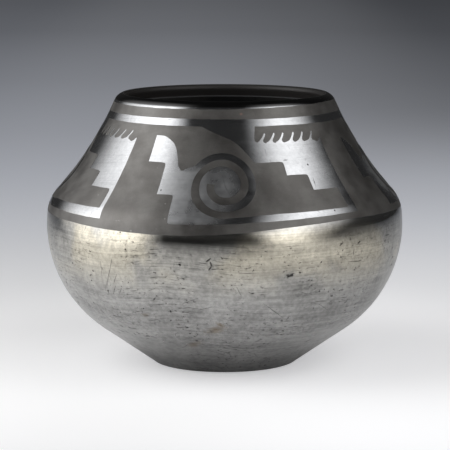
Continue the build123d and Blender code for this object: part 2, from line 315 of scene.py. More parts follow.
@dataclass
class Section:
    """A closed section of something turned: its corners, their normal angles, and how far the hand shows."""

    radii: list[float] = field(default_factory=list)
    heights: list[float] = field(default_factory=list)
    normals: list[float] = field(default_factory=list)
    weights: list[float] = field(default_factory=list)

    def add(self, place: Place, normal: float = 0.0, weight: float = 0.0) -> None:
        """Adds a corner.

        Args:
            place: Its radius and height.
            normal: The angle of the outward normal there, in degrees.
            weight: The share of the hand's depth that shows there.
        """
        self.radii.append(place[0])
        self.heights.append(place[1])
        self.normals.append(normal)
        self.weights.append(weight)

    def add_arc(self, arc: Arc, angles: Sequence[float], offset: float = 0.0, weight: float = 0.0) -> None:
        """Adds a corner at each angle of a stretch, offset from it, where the hand shows by its weight."""
        for angle in angles:
            self.add(arc.at(angle, offset), angle, weight)

    def add_flats(self, form: JarForm, heights: Sequence[float]) -> None:
        """Adds flats under the slip, with a corner at each height of the outer face."""
        for place, _ in form.under(heights, form.slip):
            self.add(place)

    def turned(self, name: str, segments: int, hand: Depth) -> bpy.types.Object:
        """Turns the section about the jar's axis.

        Args:
            name: The piece's name.
            segments: How many flats go round.
            hand: Gives the depth of the hand's marks from angles and heights.

        Returns:
            The piece.
        """
        rows = len(self.radii)
        turns = np.arange(segments) * FULL_TURN / segments
        angles, radii = np.meshgrid(turns, self.radii, indexing="ij")
        heights = np.broadcast_to(self.heights, radii.shape)
        lean = np.radians(np.broadcast_to(self.normals, radii.shape))
        depth = hand(angles, heights) * np.asarray(self.weights)
        points = around(angles, radii - depth * np.cos(lean), heights - depth * np.sin(lean)).reshape(-1, 3)
        faces = []
        for i in range(segments):
            here = i * rows
            after = (i + 1) % segments * rows
            for j in range(rows):
                above = (j + 1) % rows
                faces.append((here + j, after + j, after + above, here + above))
        return mesh_object(name, points, faces)


def mesh_object(name: str, points: np.ndarray, faces: Sequence[Sequence[int]]) -> bpy.types.Object:
    """Makes an object from points and faces, without doubled points, smooth but for its sharp edges.

    Args:
        name: The object's name.
        points: One row of x, y and z for each point.
        faces: The points of each face, anticlockwise from outside.

    Returns:
        The object, linked to the scene.
    """
    mesh = bpy.data.meshes.new(name)
    mesh.from_pydata(points.tolist(), [], faces)
    mesh.validate()
    if np.any(np.hypot(points[:, 0], points[:, 1]) < NO_LENGTH):
        weld_axis(mesh)
    mesh.shade_smooth()
    mesh.set_sharp_from_angle(angle=math.radians(SHARP_ANGLE))
    made = bpy.data.objects.new(name, mesh)
    bpy.context.scene.collection.objects.link(made)
    return made


def weld_axis(mesh: bpy.types.Mesh) -> None:
    """Joins the points that lie on the jar's axis at one height, and drops the faces that this empties.

    Args:
        mesh: The mesh.
    """
    net = bmesh.new()
    net.from_mesh(mesh)
    axis = [point for point in net.verts if math.hypot(point.co.x, point.co.y) < AXIS_LENGTH]
    bmesh.ops.remove_doubles(net, verts=axis, dist=WELD_LENGTH)
    bmesh.ops.dissolve_degenerate(net, dist=FLAT_LENGTH, edges=net.edges)
    net.to_mesh(mesh)
    net.free()


def smooth_through(places: Sequence[Place], steps: int) -> list[Place]:
    """Draws a smooth line through places, as a brush does.

    Args:
        places: Three or more places that the line goes through.
        steps: How many short strokes join one place to the next.

    Returns:
        The line's points, with the last place left out.
    """
    first = tuple(2 * places[0][i] - places[1][i] for i in (0, 1))
    last = tuple(2 * places[-1][i] - places[-2][i] for i in (0, 1))
    around = [first, *places, last]
    line = []
    for before, here, after, beyond in zip(around, around[1:], around[2:], around[3:]):
        for step in range(steps):
            t = step / steps
            line.append(tuple(
                0.5 * (2 * here[i] + (after[i] - before[i]) * t
                       + (2 * before[i] - 5 * here[i] + 4 * after[i] - beyond[i]) * t**2
                       + (3 * here[i] - before[i] - 3 * after[i] + beyond[i]) * t**3)
                for i in (0, 1)
            ))
    return line


@dataclass(frozen=True)
class HandLine:
    """A height that the painter's hand varies round the jar, from knots of an angle and a height in mm."""

    knots: tuple[Place, ...]
    easing: tuple[int, ...] = (-6, -3, 0, 3, 6)

    def at(self, angles: np.ndarray) -> np.ndarray:
        """Finds the line's height.

        Args:
            angles: Angles round the jar, in degrees.

        Returns:
            The height at each angle, in metres.
        """
        places, values = np.array(self.knots).T
        places = np.concatenate([places - FULL_TURN, places, places + FULL_TURN])
        values = np.tile(values, 3)
        near = [np.interp(angles + shift, places, values) for shift in self.easing]
        return np.mean(near, axis=0) * MM


@dataclass(frozen=True)
class Value:
    """A number or colour that a shader works out, which can stand in a sum as a plain number does."""

    sheet: "Sheet"
    socket: bpy.types.NodeSocket

    def __add__(self, other: Input) -> "Value":
        """Adds another number."""
        return self.sheet.math("ADD", self, other)

    __radd__ = __add__

    def __mul__(self, other: Input) -> "Value":
        """Multiplies by another number."""
        return self.sheet.math("MULTIPLY", self, other)

    def __sub__(self, other: Input) -> "Value":
        """Takes another number away."""
        return self.sheet.math("SUBTRACT", self, other)

    def __rsub__(self, other: Input) -> "Value":
        """Takes this number away from another."""
        return self.sheet.math("SUBTRACT", other, self)

    def __truediv__(self, other: Input) -> "Value":
        """Divides by another number."""
        return self.sheet.math("DIVIDE", self, other)

    def most(self, other: Input) -> "Value":
        """Returns the greater of this number and another."""
        return self.sheet.math("MAXIMUM", self, other)

    def swing(self, reach: float) -> "Value":
        """Returns the number's swing about a half, scaled to a reach."""
        return (self - 0.5) * reach

    def held(self) -> "Value":
        """Holds the sum that gives this number between 0 and 1."""
        self.socket.node.use_clamp = True
        return self

    def ramp(self, start: Input, end: Input, low: float = 0.0, high: float = 1.0) -> "Value":
        """Returns what the number becomes when a start is mapped smoothly to a low and an end to a high."""
        node = self.sheet.add("ShaderNodeMapRange", interpolation_type="SMOOTHSTEP")
        return self.sheet.fill(node, self, start, end, low, high)


@dataclass(frozen=True)
class Sheet:
    """Adds shader nodes to one node tree and joins their sockets."""

    tree: bpy.types.NodeTree

    def add(self, kind: str, **values: object) -> bpy.types.Node:
        """Adds a node.

        Args:
            kind: The node's type name.
            **values: Plain properties of the node by name.

        Returns:
            The node.
        """
        node = self.tree.nodes.new(kind)
        for name, value in values.items():
            setattr(node, name, value)
        return node

    def feed(self, socket: bpy.types.NodeSocket, value: Input) -> None:
        """Links a socket to another one, or sets its value.

        Args:
            socket: The socket.
            value: A worked-out number, a socket, or a plain number or colour.
        """
        if isinstance(value, Value):
            value = value.socket
        if isinstance(value, bpy.types.NodeSocket):
            self.tree.links.new(value, socket)
        else:
            socket.default_value = value

    def fill(self, node: bpy.types.Node, *values: Input, **named: Input) -> Value:
        """Feeds a node.

        Args:
            node: The node.
            *values: Its inputs in order.
            **named: Inputs by name, with spaces in their names written as underscores.

        Returns:
            The node's first output.
        """
        for socket, value in zip(node.inputs, values):
            self.feed(socket, value)
        for name, value in named.items():
            self.feed(node.inputs[name.replace("_", " ").title()], value)
        return Value(self, node.outputs[0])

    def math(self, operation: str, *values: Input) -> Value:
        """Returns the result of a Math node's operation on its inputs."""
        return self.fill(self.add("ShaderNodeMath", operation=operation), *values)

    def blend(self, share: Input, first: Input, second: Input, way: str = "MIX") -> Value:
        """Mixes two colours.

        Args:
            share: The second colour's share.
            first: A colour.
            second: A colour.
            way: The Mix node's blend type.

        Returns:
            The mixed colour.
        """
        node = self.add("ShaderNodeMix", data_type="RGBA", blend_type=way)
        for index, value in ((0, share), (6, first), (7, second)):
            self.feed(node.inputs[index], (*value, 1.0) if isinstance(value, tuple) else value)
        return Value(self, node.outputs[2])

    def toned(self, colour: Input, tone: Input) -> Value:
        """Returns a colour made lighter or darker by a tone."""
        return self.fill(self.add("ShaderNodeVectorMath", operation="SCALE"), colour, scale=tone)

    def place(self) -> bpy.types.NodeSocket:
        """Returns the place on the piece that is being painted."""
        return self.add("ShaderNodeTexCoord").outputs["Object"]

    def parts(self, vector: Input) -> list[Value]:
        """Returns a vector's x, y and z."""
        first = self.fill(self.add("ShaderNodeSeparateXYZ"), vector)
        return [Value(self, output) for output in first.socket.node.outputs]

    def joined(self, *parts: Input) -> Value:
        """Returns the vector that has these parts."""
        return self.fill(self.add("ShaderNodeCombineXYZ"), *parts)

    def noise(self, place: Input, scale: Input, detail: Input = 2.0) -> Value:
        """Returns soft noise at a place, from 0 to 1."""
        node = self.add("ShaderNodeTexNoise", noise_dimensions="3D")
        return self.fill(node, vector=place, scale=scale, detail=detail)

    def effect(self, tree: bpy.types.NodeTree, **values: Input) -> Value:
        """Places an effect's node group and returns what it puts out."""
        return self.fill(self.add("ShaderNodeGroup", node_tree=tree), **values)

    def finish(self, shader: bpy.types.Node, colour: Value, rough: Value, relief: Value,
               depth: float) -> None:
        """Feeds a surface shader.

        Args:
            shader: The shader.
            colour: The surface's colour.
            rough: Its roughness.
            relief: Its small relief.
            depth: How deep the relief is.
        """
        self.fill(shader, base_color=colour, roughness=rough)
        bump = self.fill(self.add("ShaderNodeBump"), strength=1.0, distance=depth, height=relief)
        self.feed(shader.inputs["Normal"], bump)


@dataclass
class Effects:
    """The node groups that the finishes share, each built once."""

    sway_scale: float = 11.0
    sway_reach: float = 0.02
    least_pit: float = 0.4
    pit_span: Span = (0.0, 0.6)
    scratch_turn: tuple[float, float, float] = (0.7, 0.5, 1.1)
    scratch_level: float = 0.47
    gap_share: float = 3.1
    gap_span: Span = (0.54, 0.66)

    def start(self, name: str, inputs: dict[str, float],
              output: str) -> tuple[Sheet, dict[str, Value], bpy.types.NodeSocket]:
        """Starts a node group.

        Args:
            name: The group's name.
            inputs: Its number inputs, with what each is when nothing feeds it.
            output: The name of what it puts out.

        Returns:
            The sheet to draw it on, its inputs by name, and the socket for its output.
        """
        tree = bpy.data.node_groups.new(name, "ShaderNodeTree")
        for label, value in inputs.items():
            socket = tree.interface.new_socket(label, in_out="INPUT", socket_type="NodeSocketFloat")
            socket.default_value = value
        tree.interface.new_socket(output, in_out="OUTPUT", socket_type="NodeSocketFloat")
        sheet = Sheet(tree)
        given = sheet.add("NodeGroupInput").outputs
        values = {label: Value(sheet, given[label]) for label in inputs}
        return sheet, values, sheet.add("NodeGroupOutput").inputs[0]

    @cached_property
    def streaks(self) -> bpy.types.NodeTree:
        """Draws the level streaks that a rubbing stone, a scraper or a brush leaves as it goes round.

        Returns:
            The group.
        """
        inputs = {"Along": 9.0, "Across": 330.0, "Drift": 0.35}
        sheet, given, result = self.start("rubbed_streaks", inputs, "Streak")
        place = sheet.place()
        x, y, z = sheet.parts(place)
        lift = (sheet.noise(place, self.sway_scale, 1.0) - 0.5) * given["Drift"]
        level = z + lift * self.sway_reach
        run = sheet.joined(x * given["Along"], y * given["Along"], level * given["Across"])
        sheet.feed(result, sheet.noise(run, 1.0, 3.0))
        return sheet.tree

    @cached_property
    def mottle(self) -> bpy.types.NodeTree:
        """Draws soft clouds of the firing's smoke, or of thin and thick paint.

        Returns:
            The group.
        """
        inputs = {"Scale": 26.0, "Detail": 3.0, "Low": 0.3, "High": 0.7}
        sheet, given, result = self.start("smoke_mottle", inputs, "Cloud")
        cloud = sheet.noise(sheet.place(), given["Scale"], given["Detail"])
        sheet.feed(result, cloud.ramp(given["Low"], given["High"]))
        return sheet.tree

    @cached_property
    def pits(self) -> bpy.types.NodeTree:
        """Draws small scattered pits where a grain of temper has popped out.

        Returns:
            The group.
        """
        sheet, given, result = self.start("temper_pits", {"Scale": 160.0, "Size": 0.12, "Share": 0.25}, "Pit")
        place = sheet.place()
        cells = sheet.add("ShaderNodeTexVoronoi", feature="F1")
        away = sheet.fill(cells, vector=place, scale=given["Scale"])
        pick = sheet.add("ShaderNodeSeparateColor")
        sheet.feed(pick.inputs[0], cells.outputs["Color"])
        chosen = sheet.math("LESS_THAN", pick.outputs[0], given["Share"])
        size = given["Size"] * sheet.math("ADD", pick.outputs[1], self.least_pit)
        sheet.feed(result, (1.0 - away / size).held().ramp(*self.pit_span) * chosen)
        return sheet.tree

    @cached_property
    def scratches(self) -> bpy.types.NodeTree:
        """Draws fine scratches from handling, which run every way and break off.

        Returns:
            The group.
        """
        sheet, given, result = self.start("handling_scratches", {"Scale": 22.0, "Width": 0.012}, "Scratch")
        place = sheet.place()
        turning = sheet.add("ShaderNodeVectorRotate", rotation_type="EULER_XYZ")
        turned = sheet.fill(turning, vector=place, rotation=self.scratch_turn)
        off = sheet.math("ABSOLUTE", sheet.noise(turned, given["Scale"], 0.6) - self.scratch_level)
        gaps = sheet.noise(place, given["Scale"] * self.gap_share).ramp(*self.gap_span)
        sheet.feed(result, (1.0 - off / given["Width"]).held() * gaps)
        return sheet.tree

    @cached_property
    def mark(self) -> bpy.types.NodeTree:
        """Draws one mark, from the turn, reach, level and ragged noise of the place that is asked about.

        Returns:
            The group.
        """
        inputs = {
            "Turn": 0.0, "Reach": 0.0, "Level": 0.0, "Noise": 0.0, "Angle": 0.0, "Height": 0.0,
            "Along Level": 1.0, "Along Up": 0.0, "Across Level": 0.0, "Across Up": 1.0,
            "Ragged": 0.3, "Core": 0.5,
        }
        sheet, given, result = self.start("surface_mark", inputs, "Mark")
        aside = (given["Turn"] - given["Angle"]) * given["Reach"]
        up = given["Level"] - given["Height"]
        shares = [
            sheet.math("MULTIPLY_ADD", up, given[f"{way} Up"], aside * given[f"{way} Level"])
            for way in ("Along", "Across")
        ]
        # The node is made after the vector it measures: the shader holds too much at once the other way round
        away = sheet.joined(*shares)
        length = sheet.add("ShaderNodeVectorMath", operation="LENGTH")
        sheet.feed(length.inputs[0], away)
        inside = sheet.math("MULTIPLY_ADD", given["Noise"], given["Ragged"], length.outputs["Value"])
        sheet.feed(result, inside.ramp(given["Core"], 1.0, 1.0, 0.0))
        return sheet.tree


@dataclass(frozen=True)
class Mark:
    """A small mark on the burnished surface: where it is, half its length and width in mm, and its lean."""

    kind: MarkKind
    angle: float
    height: float
    length: float
    width: float
    turn: float = 0.0

    def inputs(self) -> dict[str, float]:
        """Works out the mark's place in its node group.

        Returns:
            The group's inputs by name.
        """
        ragged, core = self.kind.value
        lean = math.radians(self.turn)
        angle = (self.angle + HALF_TURN) % FULL_TURN - HALF_TURN
        return {
            "angle": math.radians(angle),
            "height": self.height,
            "along_level": math.cos(lean) / self.length,
            "along_up": math.sin(lean) / self.length,
            "across_level": -math.sin(lean) / self.width,
            "across_up": math.cos(lean) / self.width,
            "ragged": ragged,
            "core": core,
        }


# Marks that a close look finds on the jar: angle, height, half length, half width, and lean
MARKS = {
    MarkKind.SCRATCH: (
        (-37.6, 71.0, 5.2, 0.36, 68), (-38.8, 65.5, 7.0, 0.36, 64), (-40.2, 60.5, 7.0, 0.32, 66),
        (-37.0, 61.5, 6.4, 0.34, 58), (-38.4, 55.0, 5.4, 0.34, 56), (-41.8, 56.5, 5.0, 0.30, 62),
        (-36.0, 54.5, 4.4, 0.30, 52), (-42.4, 64.8, 4.0, 0.28, 70), (-6.5, 73.8, 4.5, 0.42, -6),
        (-3.2, 70.4, 4.0, 0.4, 10), (-2.0, 72.6, 5.5, 0.3, 4), (-8.5, 70.6, 6.5, 0.26, -3),
        (7.0, 68.0, 8.0, 0.24, 2), (-12.5, 65.0, 7.5, 0.24, 12), (-24.0, 57.0, 5.0, 0.24, 24),
        (4.5, 57.5, 6.0, 0.24, -62), (-6.5, 47.0, 6.5, 0.26, 14), (26.0, 55.0, 5.0, 0.24, -20),
        (-28.5, 79.0, 3.4, 0.26, -8), (-48.6, 75.4, 2.6, 0.3, 0), (-11.4, 51.4, 9.0, 0.26, 22),
        (16.7, 45.0, 11.0, 0.28, -36), (34.6, 115.0, 3.0, 0.3, 82), (25.2, 127.3, 2.2, 0.35, 3),
    ),
    MarkKind.PIT: (
        (-41.6, 53.4, 1.0, 0.7, 20), (-33.7, 88.5, 0.5, 0.45), (-4.9, 75.6, 2.0, 0.62, 40),
        (-4.2, 73.6, 1.8, 0.6, 112), (-4.4, 71.0, 1.8, 0.55, 50), (21.0, 66.1, 1.7, 0.75, 40),
        (31.0, 72.2, 0.9, 0.35, 60), (-19.5, 61.5, 0.8, 0.3, 10), (12.4, 80.2, 0.8, 0.3),
        (-57.3, 66.4, 1.0, 0.35, 10), (43.8, 75.8, 2.6, 0.28, 88), (34.8, 124.2, 0.6, 0.5),
        (26.1, 96.8, 0.7, 0.45), (37.6, 99.9, 0.6, 0.5), (-22.9, 111.8, 0.6, 0.45, 30),
    ),
    MarkKind.STAIN: (
        (-3.6, 33.2, 10.0, 3.6, 14), (-1.4, 36.4, 5.0, 2.0, -32), (-13.3, 22.4, 7.5, 3.4, 24),
        (-29.0, 41.0, 4.0, 1.6, 10),
    ),
    MarkKind.HAZE: (
        (-11.0, 109.0, 32.0, 24.0, 6), (83.0, 112.0, 26.0, 19.0, -6), (156.0, 110.0, 26.0, 20.0, 4),
        (264.0, 113.0, 24.0, 18.0, 10),
    ),
}

# A chip in the line under the lip, where the clay's own red shows
CHIP = Mark(MarkKind.STAIN, 8.0, 152.4, 1.3, 1.0)


def new_material(name: str) -> tuple[bpy.types.Material, Sheet, bpy.types.Node]:
    """Starts a material.

    Args:
        name: The material's name.

    Returns:
        The material, a sheet for its nodes, and its surface shader.
    """
    material = bpy.data.materials.new(name)
    material.use_nodes = True
    return material, Sheet(material.node_tree), material.node_tree.nodes["Principled BSDF"]


def mark_place(sheet: Sheet) -> dict[str, Value]:
    """Finds what a mark asks about a place: its turn in radians, its reach and level in mm, and ragged noise.

    Args:
        sheet: The material's sheet.

    Returns:
        The four numbers by name.
    """
    here = sheet.place()
    x, y, z = sheet.parts(here)
    return {
        "turn": sheet.math("ARCTAN2", x, y * -1.0),
        "reach": sheet.math("SQRT", x * x + y * y) / MM,
        "level": z / MM,
        "noise": sheet.noise(here, RAGGED_SCALE) - 0.5,
    }


@dataclass(frozen=True)
class BurnishedFinish:
    """Slip rubbed with a smooth stone and smoked black: it shines like gunmetal, most of all on the neck."""

    low_colour: Colour = (0.354, 0.350, 0.343)
    belly_colour: Colour = (0.430, 0.425, 0.410)
    warm_colour: Colour = (0.497, 0.462, 0.382)
    neck_colour: Colour = (0.425, 0.430, 0.440)
    stain_colour: Colour = (0.17, 0.115, 0.06)
    scratch_colour: Colour = (0.07, 0.068, 0.065)
    bare_colour: Colour = (0.02, 0.018, 0.016)
    inside_and_crest_shade_colour: Colour = (0.016, 0.014, 0.013)
    foot_roughness: float = 0.32
    belly_roughness: float = 0.21
    neck_roughness: float = 0.14
    metal: float = 0.97
    worn_span: Span = (0.080, 0.090, 1.0, 0.15)
    belly_span: Span = (0.036, 0.066)
    warm_span: Span = (0.050, 0.078)
    warm_cloud_span: Span = (0.25, 0.75, 0.25, 1.0)
    neck_span: Span = (0.086, 0.098)
    crest_shade_span: Span = (0.1554, 0.1564)
    rough_span: Span = (0.004, 0.06)
    polish_span: Span = (0.079, 0.0875)
    within_span: Span = (0.120, 0.121)
    within_reach_mm: Span = (59.3, 60.0, 1.0, 0.0)
    fleck_span: Span = (0.58, 0.72)
    dash_depth: float = 0.85
    mean_tone: float = 0.93
    neck_calm: float = 0.65
    relief_depth: float = 0.00004

    def masks(self, sheet: Sheet, effects: Effects, place: dict[str, Value]) -> dict[MarkKind, Value]:
        """Draws the marks, and joins those of each kind to one mask.

        Args:
            sheet: The material's sheet.
            effects: The shared node groups.
            place: The place's turn, reach, level and noise.

        Returns:
            A mask for each kind.
        """
        joined: dict[MarkKind, Value] = {}
        for kind, rows in MARKS.items():
            for row in rows:
                mask = sheet.effect(effects.mark, **place, **Mark(kind, *row).inputs())
                joined[kind] = joined[kind].most(mask) if kind in joined else mask
        return joined

    def material(self, effects: Effects) -> bpy.types.Material:
        """Makes the material.

        Args:
            effects: The shared node groups.

        Returns:
            The material.
        """
        material, sheet, shader = new_material("burnished_slip")
        level = sheet.parts(sheet.place())[2]
        streak = sheet.effect(effects.streaks, along=9.0, across=330.0, drift=0.5)
        hair = sheet.effect(effects.streaks, along=13.0, across=1250.0, drift=0.6)
        dash = sheet.effect(effects.streaks, along=90.0, across=1500.0, drift=1.2)
        graze = sheet.effect(effects.streaks, along=420.0, across=620.0, drift=2.0)
        cloud = sheet.effect(effects.mottle, scale=24.0, detail=3.0, low=0.3, high=0.7)
        blotch = sheet.effect(effects.mottle, scale=95.0, detail=5.0, low=0.3, high=0.7)
        patch = sheet.effect(effects.mottle, scale=50.0, detail=4.0, low=0.40, high=0.60)
        speck = sheet.effect(effects.mottle, scale=420.0, detail=3.0, low=0.32, high=0.70)
        scratch = sheet.effect(effects.scratches, scale=31.0, width=0.006)
        pit = sheet.effect(effects.pits, scale=120.0, size=0.11, share=0.16)
        place = mark_place(sheet)
        marks = self.masks(sheet, effects, place)
        lower = level.ramp(*self.worn_span)
        flecked = dash.ramp(*self.fleck_span, 0.0, self.dash_depth).most(graze.ramp(*self.fleck_span))
        flecked = flecked * (patch * lower)
        scored = (scratch * 0.6).most(marks[MarkKind.SCRATCH])
        pitted = (pit * lower).most(marks[MarkKind.PIT])
        stained = marks[MarkKind.STAIN] * (blotch * 0.7 + 0.3)
        hazy = marks[MarkKind.HAZE] * (blotch * 0.5 + 0.6)
        within = place["reach"].ramp(*self.within_reach_mm) * level.ramp(*self.within_span)

        high = level.ramp(*self.neck_span)
        colour = sheet.blend(level.ramp(*self.belly_span), self.low_colour, self.belly_colour)
        warm = level.ramp(*self.warm_span) * cloud.ramp(*self.warm_cloud_span)
        colour = sheet.blend(warm, colour, self.warm_colour)
        colour = sheet.blend(high, colour, self.neck_colour)
        tone = streak.swing(0.56) + blotch.swing(0.17) + hair.swing(0.55)
        tone = tone + speck.swing(0.24) + cloud.swing(0.26)
        tone = tone * (1.0 - high * self.neck_calm) + self.mean_tone - flecked * 0.75
        colour = sheet.blend(stained, sheet.toned(colour, tone), self.stain_colour)
        colour = sheet.blend(scored * 0.8, colour, self.scratch_colour)
        colour = sheet.blend(pitted * 0.95, colour, self.bare_colour)
        # The crest is painted shade: it takes most of the unburnished inside's near-black, so the lip's
        # rounded top shows no lamp highlight
        crest = level.ramp(*self.crest_shade_span) * 0.88
        colour = sheet.blend(within.most(crest), colour, self.inside_and_crest_shade_colour)

        polish = level.ramp(*self.polish_span) * (self.neck_roughness - self.belly_roughness)
        rough = level.ramp(*self.rough_span, self.foot_roughness, self.belly_roughness) + polish
        rough = rough + streak.swing(0.16) + cloud.swing(0.05)
        worn = scored.most(pitted.most(marks[MarkKind.STAIN])).most(flecked * 0.6).most(hazy)
        rough = (rough + worn * 0.24 + within * 0.42).held()
        metal = (1.0 - pitted.most(within)) * (self.metal - hazy * 0.16)
        sheet.feed(shader.inputs["Metallic"], metal)
        relief = streak * 0.55 + hair * 0.10 - scored * 0.6 - pitted * 3.0
        sheet.finish(shader, colour, rough, relief, self.relief_depth)
        return material


@dataclass(frozen=True)
class PaintFinish:
    """Matte slip paint: a dull film on the burnish that still takes a soft, rough sheen."""

    thin_colour: Colour = (0.150, 0.145, 0.138)
    thick_colour: Colour = (0.098, 0.093, 0.088)
    pit_colour: Colour = (0.24, 0.235, 0.225)
    chip_colour: Colour = (0.42, 0.24, 0.19)
    roughness: float = 0.37
    metal: float = 0.76
    relief_depth: float = 0.00003

    def material(self, effects: Effects) -> bpy.types.Material:
        """Makes the material.

        Args:
            effects: The shared node groups.

        Returns:
            The material.
        """
        material, sheet, shader = new_material("matte_paint")
        brush = sheet.effect(effects.streaks, along=60.0, across=420.0, drift=2.5)
        cloud = sheet.effect(effects.mottle, scale=75.0, detail=4.0, low=0.32, high=0.68)
        grain = sheet.effect(effects.mottle, scale=1300.0, detail=3.0, low=0.3, high=0.7)
        pit = sheet.effect(effects.pits, scale=210.0, size=0.11, share=0.12)
        chip = sheet.effect(effects.mark, **mark_place(sheet), **CHIP.inputs())
        colour = sheet.blend(cloud, self.thick_colour, self.thin_colour)
        colour = sheet.toned(colour, brush * 0.24 + 0.88 + grain.swing(0.10))
        colour = sheet.blend(pit, colour, self.pit_colour)
        colour = sheet.blend(chip * 0.7, colour, self.chip_colour)
        rough = cloud * 0.08 + self.roughness + grain * 0.05
        shader.inputs["Metallic"].default_value = self.metal
        sheet.finish(shader, colour, rough, grain * 0.3 + brush * 0.7, self.relief_depth)
        return material


@dataclass(frozen=True)
class ClayFinish:
    """Smoke-blackened clay inside the jar and under its foot, scraped but never burnished."""

    smoke_colour: Colour = (0.040, 0.036, 0.031)
    earth_colour: Colour = (0.080, 0.067, 0.054)
    worn_colour: Colour = (0.13, 0.115, 0.10)
    pit_colour: Colour = (0.01, 0.009, 0.008)
    roughness: float = 0.62
    worn_span: Span = (0.0, 0.0016, 1.0, 0.0)
    relief_depth: float = 0.00018

    def material(self, effects: Effects) -> bpy.types.Material:
        """Makes the material.

        Args:
            effects: The shared node groups.

        Returns:
            The material.
        """
        material, sheet, shader = new_material("scraped_clay")
        level = sheet.parts(sheet.place())[2]
        scrape = sheet.effect(effects.streaks, along=26.0, across=520.0, drift=1.6)
        cloud = sheet.effect(effects.mottle, scale=33.0, detail=4.0, low=0.36, high=0.7)
        grain = sheet.effect(effects.mottle, scale=900.0, detail=4.0, low=0.3, high=0.7)
        pit = sheet.effect(effects.pits, scale=240.0, size=0.2, share=0.2)
        colour = sheet.blend(cloud, self.smoke_colour, self.earth_colour)
        colour = sheet.toned(colour, scrape * 0.5 + 0.75)
        rubbed = level.ramp(*self.worn_span) * cloud
        colour = sheet.blend(rubbed * 0.7, colour, self.worn_colour)
        colour = sheet.blend(pit * 0.6, colour, self.pit_colour)
        relief = scrape + grain * 0.35 - pit * 1.2
        sheet.finish(shader, colour, grain * 0.12 + self.roughness, relief, self.relief_depth)
        return material


def dress(piece: bpy.types.Object, node: str, slot: Slot, material: bpy.types.Material) -> None:
    """Gives a piece its material, hides the CAD node that it stands for, and hangs the piece under the root
    body.

    Args:
        piece: The piece.
        node: The node.
        slot: The record's slot for its finish, which only goes into the log.
        material: The material.
    """
    piece.data.materials.append(material)
    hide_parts(node)
    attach(piece, "root")
    log.info("%s: %d faces, %s", piece.name, len(piece.data.polygons), slot.value)


